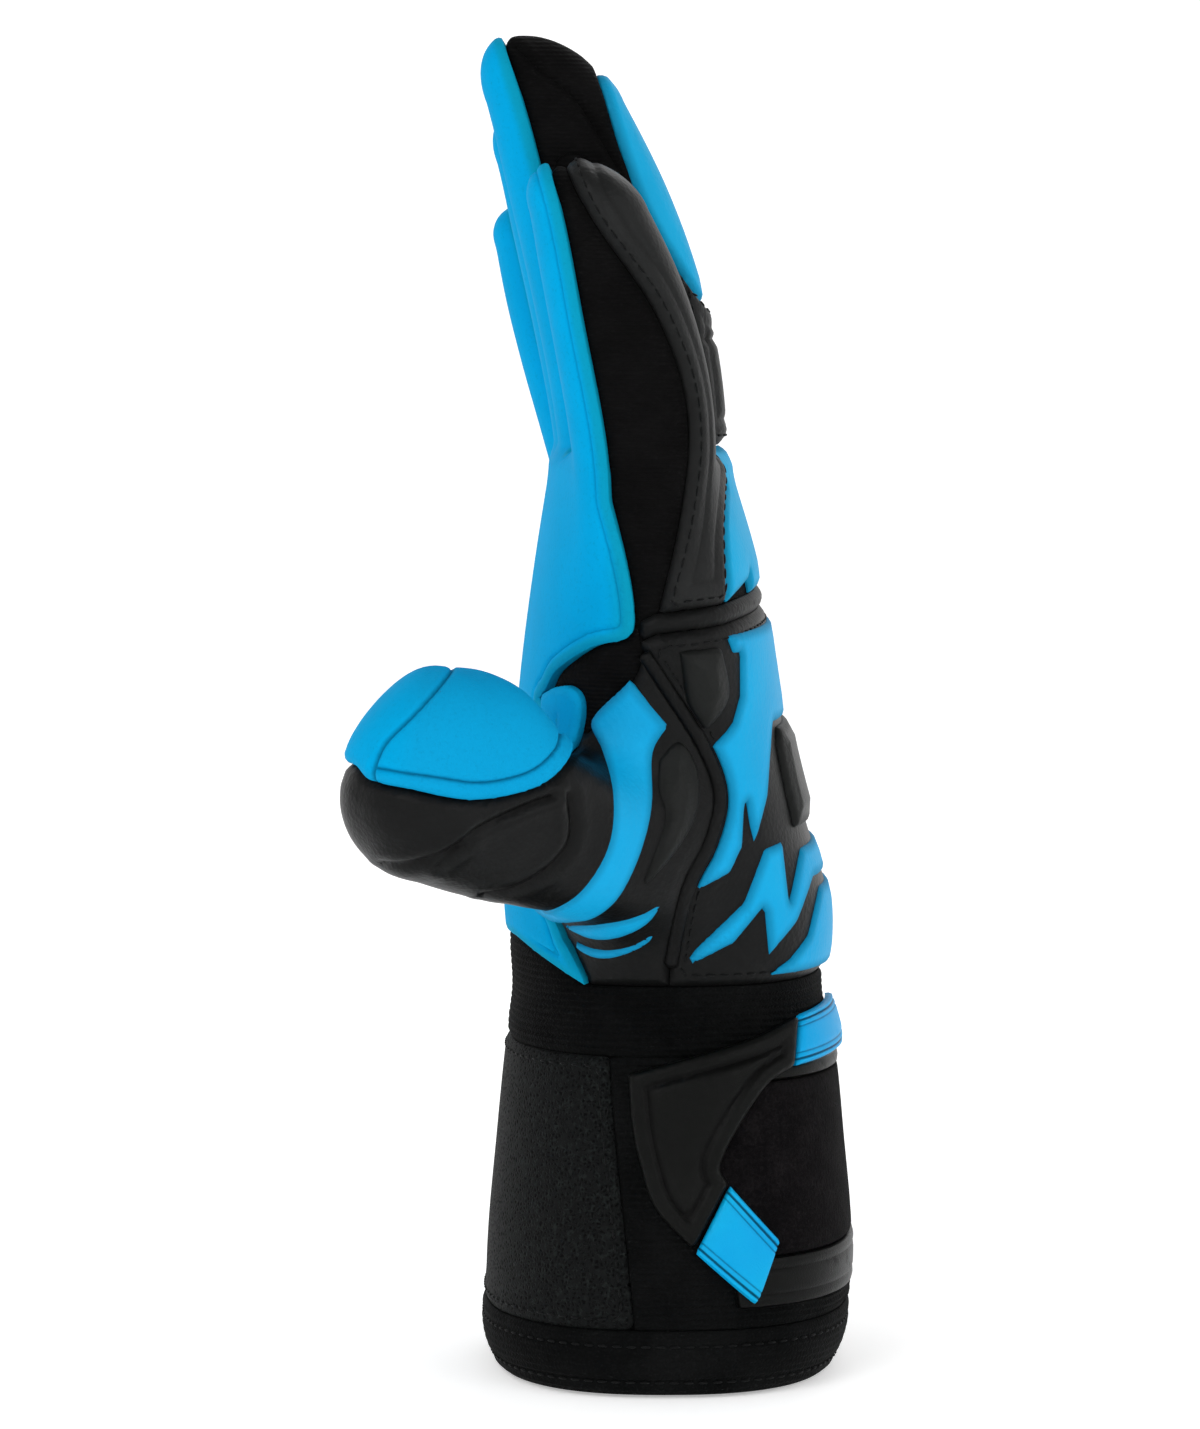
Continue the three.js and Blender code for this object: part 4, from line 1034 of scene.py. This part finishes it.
def cuff_net(z_from, z_to, row_step, column_step):
    """Rows of even steps round the cuff, one row above the other, as a net."""
    heights = np.linspace(z_from, z_to, int(round((z_to - z_from) / row_step)) + 1)
    columns = int(round(280 / column_step))
    turn = np.linspace(0, 2 * math.pi, 2001)[:-1]
    rings = []
    for z in heights:
        palm_reach, back_reach, near, far = (float(v) for v in trunk_row(np.array(z)))
        cos, sin = np.cos(turn), np.sin(turn)
        half_y = np.where(sin < 0, near, far)
        x = (back_reach - palm_reach) / 2 + np.sign(cos) * np.abs(cos)**(2 / TRUNK_POWER) * (
            (back_reach + palm_reach) / 2)
        y = np.sign(sin) * np.abs(sin)**(2 / TRUNK_POWER) * half_y
        closed = np.stack([np.append(x, x[0]), np.append(y, y[0])], axis=1)
        length = np.concatenate([[0], np.cumsum(np.linalg.norm(np.diff(closed, axis=0), axis=1))])
        even = np.arange(columns) / columns * length[-1]
        rings.append(np.stack([np.interp(even, length, closed[:, 0]), np.interp(even, length, closed[:, 1]),
                               np.full(columns, z)], axis=1))
    points = np.concatenate(rings)
    slope = slope_of(trunk_form, points)
    normals = slope / np.linalg.norm(slope, axis=1, keepdims=True)
    low = (np.arange(len(heights) - 1)[:, None] * columns + np.arange(columns)).ravel()
    side = (np.arange(len(heights) - 1)[:, None] * columns + (np.arange(columns) + 1) % columns).ravel()
    faces = np.vstack([np.stack([low, side, side + columns], axis=1),
                       np.stack([low, side + columns, low + columns], axis=1)])
    return np.hstack([points, normals]), faces


CUFF, CUFF_FACES = cuff_net(0.0, PALM_FOOT + 12, 0.35, 2.4)
RIB_PITCH = 1.4
STRAP_START = -0.1
STRAP_LOW = 0.26
STRAP_HIGH = 1.07
STRAP_PRESS = 1.3


def on_cuff(shares):
    return np.array(shares, float) * (CUFF_DEPTH, CUFF_HEIGHT)


STRAP_EDGE = curved(on_cuff([
    (1, 1.2), (1, 0.2), (0.19, 0.2), (0.16, 0.41), (0.1, 0.47), (0.0, 0.58), (-0.05, 0.7), (-0.07, 0.8),
    (-0.08, 0.92), (0.02, 0.955), (0.25, 1.015), (0.31, 1.04), (0.31, 1.2),
]), sharp=(0, 1, 2, 3, 8, 11, 12))


def strap_zone(net, low, high):
    outline = on_cuff([(STRAP_START, low), (1, low), (1, high), (STRAP_START, high)])
    return np.maximum(zone(net, outline), zone(net, STRAP_EDGE))


def ribs(places, normals, depth):
    """Fine level ribs with a slow waver, drawn in where the strap is wrapped over them."""
    x, y, z = places.T
    waver = 0.25 * np.sin(x / 9 + y / 13) + 0.15 * np.sin(y / 5)
    pressed = np.clip(0.3 - strap_zone(places, STRAP_LOW, STRAP_HIGH) / 2, 0, 1) * STRAP_PRESS
    return 0.22 * np.cos(2 * math.pi * (z + waver) / RIB_PITCH) * np.clip(depth / 1.5, 0, 1) - pressed


def elastic_material(name, colour, light):
    """Elastic webbing: dull textile with rubber cords, paler in soft patches."""
    material, tree, shader, place = new_material(name, Specular_IOR_Level=0.05)
    threads = node(tree, "ShaderNodeTexVoronoi", {}, Vector=place, Scale=1500.0)
    cloud = noise(tree, place, 70.0, 2.0)
    base = mixed(tree, between(tree, cloud, 0.3, 0.75), colour, light)
    feed(tree, shader, Base_Color=base, Roughness=0.85 - cloud * 0.1)
    bump(tree, shader, threads, 0.0002)
    return material


elastic = elastic_material("ribbed_elastic", ink(5, 6, 6), ink(12, 13, 13))
height = CUFF[:, 2]
wrist_zone = np.maximum(CUFF_HEIGHT - height, outline_depth(CUFF, WRIST_TOP))
wrist = panel("wrist_ribbing", CUFF, CUFF_FACES, wrist_zone,
              ((0, -1.0), (0.5, -0.6), (1.4, -0.2), (4, 0)), 1.8, relief=ribs, rounds=2)
dress(wrist, ["wrist_elastic"], elastic)

# Cuff panels. The palm half is a coarse knitted mesh, and the back half is ribbed elastic that lets the
# cuff open. They meet in a seam on each side.
HEM_HEIGHT = 14.0
MESH_EDGE = eased([(-0.09, -0.02), (-0.1, 0.23), (-0.16, 0.87), (-0.17, 1.2)])
mesh_zone = zone(CUFF, on_cuff(np.vstack([MESH_EDGE, [(-5, 1.2), (-5, -0.02)]])))
body_zone = np.maximum(HEM_HEIGHT - height, height - CUFF_HEIGHT)


def mesh_material(name, colour, light):
    """Knitted mesh: small open cells between pale-flecked threads."""
    material, tree, shader, place = new_material(name, Specular_IOR_Level=0.1)
    cells = node(tree, "ShaderNodeTexVoronoi", {"feature": "DISTANCE_TO_EDGE"}, Vector=place, Scale=1050.0)
    flecks = noise(tree, place, 900.0, 2.0)
    hole = between(tree, cells, 0.12, 0.4)
    thread = mixed(tree, between(tree, flecks, 0.5, 0.68), colour, light)
    base = mixed(tree, hole, thread, dimmed(colour, 0.4))
    feed(tree, shader, Base_Color=base, Roughness=0.7 + hole * 0.2)
    bump(tree, shader, 1.0 - hole, 0.0004)
    return material


mesh_knit = mesh_material("knitted_mesh", ink(6, 8, 8), ink(19, 23, 22))
mesh_side = panel("cuff_mesh", CUFF, CUFF_FACES, np.maximum(body_zone, mesh_zone),
                  ((0, -0.9), (0.5, -0.5), (1.4, -0.1), (4, 0)), 1.8, rounds=2, thread=2.2)
dress(mesh_side, ["cuff_mesh_panel"], mesh_knit)
elastic_side = panel("cuff_elastic", CUFF, CUFF_FACES, np.maximum(body_zone, -mesh_zone),
                     ((0, -0.9), (0.5, -0.5), (1.4, -0.1), (4, 0)), 1.8, relief=ribs, rounds=2)
dress(elastic_side, ["cuff_elastic_panel"], elastic)

# Cuff hem. The elastic folded back on itself and sewn down with two rows of stitches.


def hem_relief(places, normals, depth):
    """Two sewn rows that draw the hem in, and fine level ribs between them."""
    z = places[:, 2]
    rows = np.exp(-((z - 3.2) / 0.6)**2) + np.exp(-((z - 11.0) / 0.6)**2)
    return ribs(places, normals, depth) * 0.5 - 0.35 * rows


hem = panel("hem_band", CUFF, CUFF_FACES, height - HEM_HEIGHT,
            ((0, -0.6), (0.5, -0.2), (1.4, 0.05), (4, 0.15)), 1.9, relief=hem_relief, rounds=2, thread=3.2)
dress(hem, ["cuff_hem"], elastic)

# Wrist strap. A wide wrap of loop fabric that starts at the palm side and goes round the back of the
# cuff, with a moulded rubber edge band along its top and bottom.
STRAP_THICKNESS = 1.5
LIFT = 0.2 - STRAP_PRESS
WRAP, WRAP_FACES = cuff_net(HEM_HEIGHT - 2, PALM_FOOT, 0.75, 1.2)


def loop_material(name, colour, light):
    """Brushed loop fabric: a dense nap of tiny loops, dull, with soft streaks where it is brushed."""
    material, tree, shader, place = new_material(name, Specular_IOR_Level=0.05)
    loops = noise(tree, place, 1300.0, 3.0, 0.65)
    streaks = noise(tree, place, 160.0, 3.0, 0.6)
    base = mixed(tree, between(tree, loops * 0.6 + streaks * 0.4, 0.42, 0.66), colour, light)
    feed(tree, shader, Base_Color=base, Roughness=0.9 - streaks * 0.08)
    bump(tree, shader, loops, 0.0005)
    return material


def rubber_material(name, colour, light, gloss):
    """Moulded rubber: satin, with a fine even grain from the mould, faint scuffs and painted shade in its
    pressed grooves.
    """
    material, tree, shader, place = new_material(name, Specular_IOR_Level=0.08)
    grain = noise(tree, place, 2600.0, 2.0)
    cloud = noise(tree, place, 40.0, 3.0)
    scuffs = noise(tree, place, 260.0, 4.0, 0.7)
    base = mixed(tree, between(tree, cloud, 0.4, 0.75) * 0.7, colour, light)
    # Painted shade: the pressed grooves, by the 'low' attribute, are darkened nearly to black.
    base = mixed(tree, between(tree, attribute(tree, "low"), 0.1, 0.4) * 0.85, base,
                 dimmed(colour, 0.1))
    feed(tree, shader, Base_Color=base, Roughness=gloss + between(tree, scuffs, 0.5, 0.75) * 0.2)
    bump(tree, shader, grain, 0.00008)
    return material


loop_fabric = loop_material("loop_fabric", ink(6, 5, 6), ink(19, 17, 18))
strap_rubber = rubber_material("strap_rubber", ink(7, 8, 7), ink(13, 14, 13), 0.36)
top = LIFT + STRAP_THICKNESS


def band_relief(places, normals, depth):
    """The step inside each rubber edge band."""
    return -0.35 * np.exp(-((depth - 2.6) / 0.45)**2)


for title, low, high, slot, finish, edge_height, relief in (
        ("strap_lower_band", 0.26, 0.41, "strap_rubber", strap_rubber, 0.25, band_relief),
        ("wrist_strap", 0.41, 0.92, "loop_fabric", loop_fabric, -0.1, None),
        ("strap_upper_band", 0.92, 1.07, "strap_rubber", strap_rubber, 0.25, band_relief)):
    own_top = top + edge_height
    band = panel(title + "_wrap", WRAP, WRAP_FACES, strap_zone(WRAP, low, high),
                 ((0, top - 0.8), (0.4, own_top - 0.2), (1.2, own_top), (4, own_top)),
                 -LIFT, relief=relief, marks=[(edge_of, (2.2, 2.6, 3.0))] if relief else (), rounds=2)
    dress(band, [title], finish)

# Strap tab. The moulded rubber pull at the end of the strap, thicker than the strap, with a raised rim and
# two blue inlays. It is the piece that the wearer grips to open the glove.
TAB_FOOT = top + 0.2
TAB_THICKNESS = 2.2
TAB = curved(on_cuff([
    (-0.11, 0.95), (0.02, 0.99), (0.22, 1.05), (0.33, 1.1), (0.32, 0.955), (0.25, 0.91),
    (0.17, 0.78), (0.13, 0.68), (0.15, 0.63), (0.06, 0.44), (-0.04, 0.56), (-0.08, 0.69), (-0.1, 0.8),
]), sharp=(0, 3, 4, 8, 9))
ACCENT_LOW = on_cuff([(0.155, 0.625), (0.285, 0.455), (0.225, 0.27), (0.065, 0.43)])
ACCENT_HIGH = on_cuff([(0.335, 1.1), (0.6, 1.15), (0.6, 0.99), (0.325, 0.955)])
accent_low = zone(WRAP, ACCENT_LOW, -FAR, 0)
accent_high = zone(WRAP, ACCENT_HIGH, -FAR, 0)
tab_zone = less(zone(WRAP, TAB, -FAR, 0), accent_low, accent_high)
tab_top = TAB_FOOT + TAB_THICKNESS


def tab_relief(places, normals, depth):
    """A rim, a groove inside it and a slightly domed field."""
    return -0.7 * np.exp(-((depth - 3.6) / 0.7)**2) + 0.3 * np.clip((depth - 4.5) / 5, 0, 1)


tab = panel("tab_pull", WRAP, WRAP_FACES, tab_zone,
            ((0, tab_top - 1.2), (0.4, tab_top - 0.5), (1.2, tab_top - 0.1), (2.5, tab_top)),
            -TAB_FOOT, relief=tab_relief, marks=[(edge_of, (2.9, 3.6, 4.3))], rounds=3)
dress(tab, ["strap_tab"], strap_rubber)

# Blue inlays. Two pieces of blue rubber set in the strap beside the tab and sewn along their edges.
accent_blue = rubber_material("blue_rubber", ink(2, 152, 210), ink(14, 172, 216), 0.42)


def long_edges(outline):
    """Distance in from the two long edges of an inlay."""
    def measure(rows):
        return np.minimum(np.abs(line_side(rows, outline[:2])), np.abs(line_side(rows, outline[2:])))
    return measure


def inlay_relief(outline):
    def relief(places, normals, depth):
        """Two sewn lines beside each long edge."""
        away = long_edges(outline)(places)
        return groove(away - 1.3, 0.5, 0.3) + groove(away - 2.5, 0.3, 0.3)
    return relief


for title, value, outline in (("strap_accent_lower", accent_low, ACCENT_LOW),
                              ("strap_accent_upper", accent_high, ACCENT_HIGH)):
    inlay = panel(title + "_inlay", WRAP, WRAP_FACES, value,
                  ((0, tab_top - 1.4), (0.4, tab_top - 0.7), (1.2, tab_top - 0.4), (3, tab_top - 0.3)),
                  -TAB_FOOT, relief=inlay_relief(outline), rounds=2,
                  marks=[(long_edges(outline), (0.9, 1.3, 1.7, 2.1, 2.5, 2.9))])
    dress(inlay, [title], accent_blue)

# Seam backing. The panels' edges are turned in and sewn together behind the seams, and black knit shows as
# a dark line between two panels. One thin layer stands for all of it, just behind the panels.
BACKING_DEPTH = 1.95
BACKING_WALL = 0.5


def whole_form(x, y, z):
    return np.where(z > PALM_FOOT + 2, hand_form(x, y, z), trunk_form(x, y, z))


backing_net, backing_faces = net_of(whole_form, (-78.0, -92.0, 2.0), (42.0, 62.0, 284.0), 3.2)
backing = panel("seam_backing", backing_net, backing_faces, 4 - backing_net[:, 2],
                ((0, -BACKING_DEPTH), (9, -BACKING_DEPTH)), BACKING_DEPTH + BACKING_WALL, rounds=1)
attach(backing, "root")
backing.data.materials.append(knit)

# Stitches. Thread laid in short stitches along the sewn edges, a little sunk in the cloth.
STITCH_LENGTH = 2.2
STITCH_PITCH = 3.0
STITCH_WIDTH = 0.5


def stitch_tree():
    """Geometry nodes: a stitch on every step of each path, turned along it."""
    tree = bpy.data.node_groups.new("stitches", "GeometryNodeTree")
    face = tree.interface
    face.new_socket("Geometry", in_out="INPUT", socket_type="NodeSocketGeometry")
    for title in ("Pitch", "Length", "Width"):
        face.new_socket(title, in_out="INPUT", socket_type="NodeSocketFloat")
    face.new_socket("Thread", in_out="INPUT", socket_type="NodeSocketMaterial")
    face.new_socket("Geometry", in_out="OUTPUT", socket_type="NodeSocketGeometry")
    made = {key: tree.nodes.new(kind) for key, kind in (
        ("given", "NodeGroupInput"), ("path", "GeometryNodeMeshToCurve"),
        ("steps", "GeometryNodeResampleCurve"),
        ("bead", "GeometryNodeMeshUVSphere"), ("size", "ShaderNodeCombineXYZ"),
        ("shape", "GeometryNodeTransform"), ("run", "GeometryNodeInputTangent"),
        ("turn", "FunctionNodeAlignRotationToVector"), ("copies", "GeometryNodeInstanceOnPoints"),
        ("real", "GeometryNodeRealizeInstances"), ("finish", "GeometryNodeSetMaterial"),
        ("result", "NodeGroupOutput"))}
    made["steps"].mode = "LENGTH"
    made["bead"].inputs["Segments"].default_value = 6
    made["bead"].inputs["Rings"].default_value = 5
    made["bead"].inputs["Radius"].default_value = 0.5
    made["turn"].axis = "X"
    for start, out, end, into in (
            ("given", "Geometry", "path", "Mesh"), ("path", "Curve", "steps", "Curve"),
            ("given", "Pitch", "steps", "Length"), ("given", "Length", "size", "X"),
            ("given", "Width", "size", "Y"), ("given", "Width", "size", "Z"),
            ("bead", "Mesh", "shape", "Geometry"), ("size", "Vector", "shape", "Scale"),
            ("run", "Tangent", "turn", "Vector"), ("steps", "Curve", "copies", "Points"),
            ("shape", "Geometry", "copies", "Instance"), ("turn", "Rotation", "copies", "Rotation"),
            ("copies", "Instances", "real", "Geometry"), ("real", "Geometry", "finish", "Geometry"),
            ("given", "Thread", "finish", "Material"), ("finish", "Geometry", "result", "Geometry")):
        tree.links.new(made[start].outputs[out], made[end].inputs[into])
    return tree


def thread_material(name, colour):
    """Twisted thread: slightly glossy strands."""
    material, tree, shader, place = new_material(name, Specular_IOR_Level=0.1)
    strands = noise(tree, place, 3000.0, 1.0)
    feed(tree, shader, Base_Color=mixed(tree, strands, colour, dimmed(colour, 2.2)),
         Roughness=0.5 + strands * 0.2)
    return material


thread = thread_material("black_thread", ink(9, 10, 10))
points, edges = [], []
for path in STITCH_PATHS:
    lifted = path[:, :3] + path[:, 3:6] * 0.1
    start = len(points)
    points.extend(lifted * MM)
    edges.extend((k, k + 1) for k in range(start, start + len(lifted) - 1))
mesh = bpy.data.meshes.new("stitch_paths")
mesh.from_pydata(points, edges, [])
paths = bpy.data.objects.new("stitch_paths", mesh)
bpy.context.scene.collection.objects.link(paths)
modifier = paths.modifiers.new("stitches", "NODES")
tree = stitch_tree()
wanted = {"Pitch": STITCH_PITCH * MM, "Length": STITCH_LENGTH * MM, "Width": STITCH_WIDTH * MM,
          "Thread": thread}
modifier.node_group = tree
for item in tree.interface.items_tree:
    if item.in_out == "INPUT" and item.name in wanted:
        modifier[item.identifier] = wanted[item.name]
ready = bpy.context.evaluated_depsgraph_get()
sewn = bpy.data.meshes.new_from_object(paths.evaluated_get(ready))
bpy.data.objects.remove(paths)
stitches = bpy.data.objects.new("stitching", sewn)
bpy.context.scene.collection.objects.link(stitches)
for polygon in sewn.polygons:
    polygon.use_smooth = True
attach(stitches, "root")

# The studio. A pale floor that runs up into a white wall all round, three large soft lights and a camera
# at the photograph's viewing angle.
FLOOR = -0.0006
PROFILE = [(0.001, 0), (1.5, 0), (4, 0), (5, 0.13), (5.7, 0.5), (6.1, 1.1), (6.3, 2), (6.4, 5)]
TURNS = 64
points = [(r * math.cos(2 * math.pi * k / TURNS), r * math.sin(2 * math.pi * k / TURNS), FLOOR + z)
          for r, z in PROFILE for k in range(TURNS)]
quads = [(row * TURNS + k, row * TURNS + (k + 1) % TURNS, (row + 1) * TURNS + (k + 1) % TURNS,
          (row + 1) * TURNS + k) for row in range(len(PROFILE) - 1) for k in range(TURNS)]
mesh = bpy.data.meshes.new("studio_floor")
mesh.from_pydata(points, [], quads)
mesh.shade_smooth()
floor = bpy.data.objects.new("studio_floor", mesh)
bpy.context.scene.collection.objects.link(floor)
material, tree, shader, place = new_material("white_floor", Specular_IOR_Level=0.1, Emission_Strength=0.38,
                                             Emission_Color=(1, 1, 1, 1))
feed(tree, shader, Roughness=0.9 + noise(tree, place, 3.0) * 0.05,
     Base_Color=mixed(tree, noise(tree, place, 2.0), (0.93, 0.93, 0.93, 1), (0.96, 0.96, 0.96, 1)))
mesh.materials.append(material)
floor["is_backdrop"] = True

bpy.context.scene.view_settings.view_transform = "Standard"
world = bpy.data.worlds.new("studio")
world.use_nodes = True
tree = world.node_tree
tree.nodes["Background"].inputs["Color"].default_value = (1, 1, 1, 1)
tree.nodes["Background"].inputs["Strength"].default_value = 0.4
bpy.context.scene.world = world


def soft_light(name, place, aim, size, power):
    light = bpy.data.lights.new(name, "AREA")
    light.shape = "DISK"
    light.size = size
    light.energy = power
    lamp = bpy.data.objects.new(name, light)
    lamp.location = place
    lamp.rotation_euler = (Vector(aim) - Vector(place)).to_track_quat("-Z", "Y").to_euler()
    bpy.context.scene.collection.objects.link(lamp)


soft_light("key", (-0.7, -1.3, 1.2), (0, 0, 0.14), 0.9, 7.0)
soft_light("fill", (1.1, -1.0, 0.7), (0, 0, 0.14), 1.0, 3.2)
soft_light("back", (0.3, 1.0, 1.1), (0, 0, 0.2), 0.9, 3.0)

camera = bpy.data.cameras.new("photo_view")
camera.sensor_fit = "HORIZONTAL"
camera.sensor_width = 36
camera.lens = 170
camera.clip_start = 0.05
camera.clip_end = 20
eye = bpy.data.objects.new("photo_view", camera)
eye.location = (-0.0145, -1.2, 0.231)
eye.rotation_euler = (Vector((-0.0145, 0, 0.1376)) - eye.location).to_track_quat("-Z", "Y").to_euler()
bpy.context.scene.collection.objects.link(eye)
bpy.context.scene.camera = eye

low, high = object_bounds()
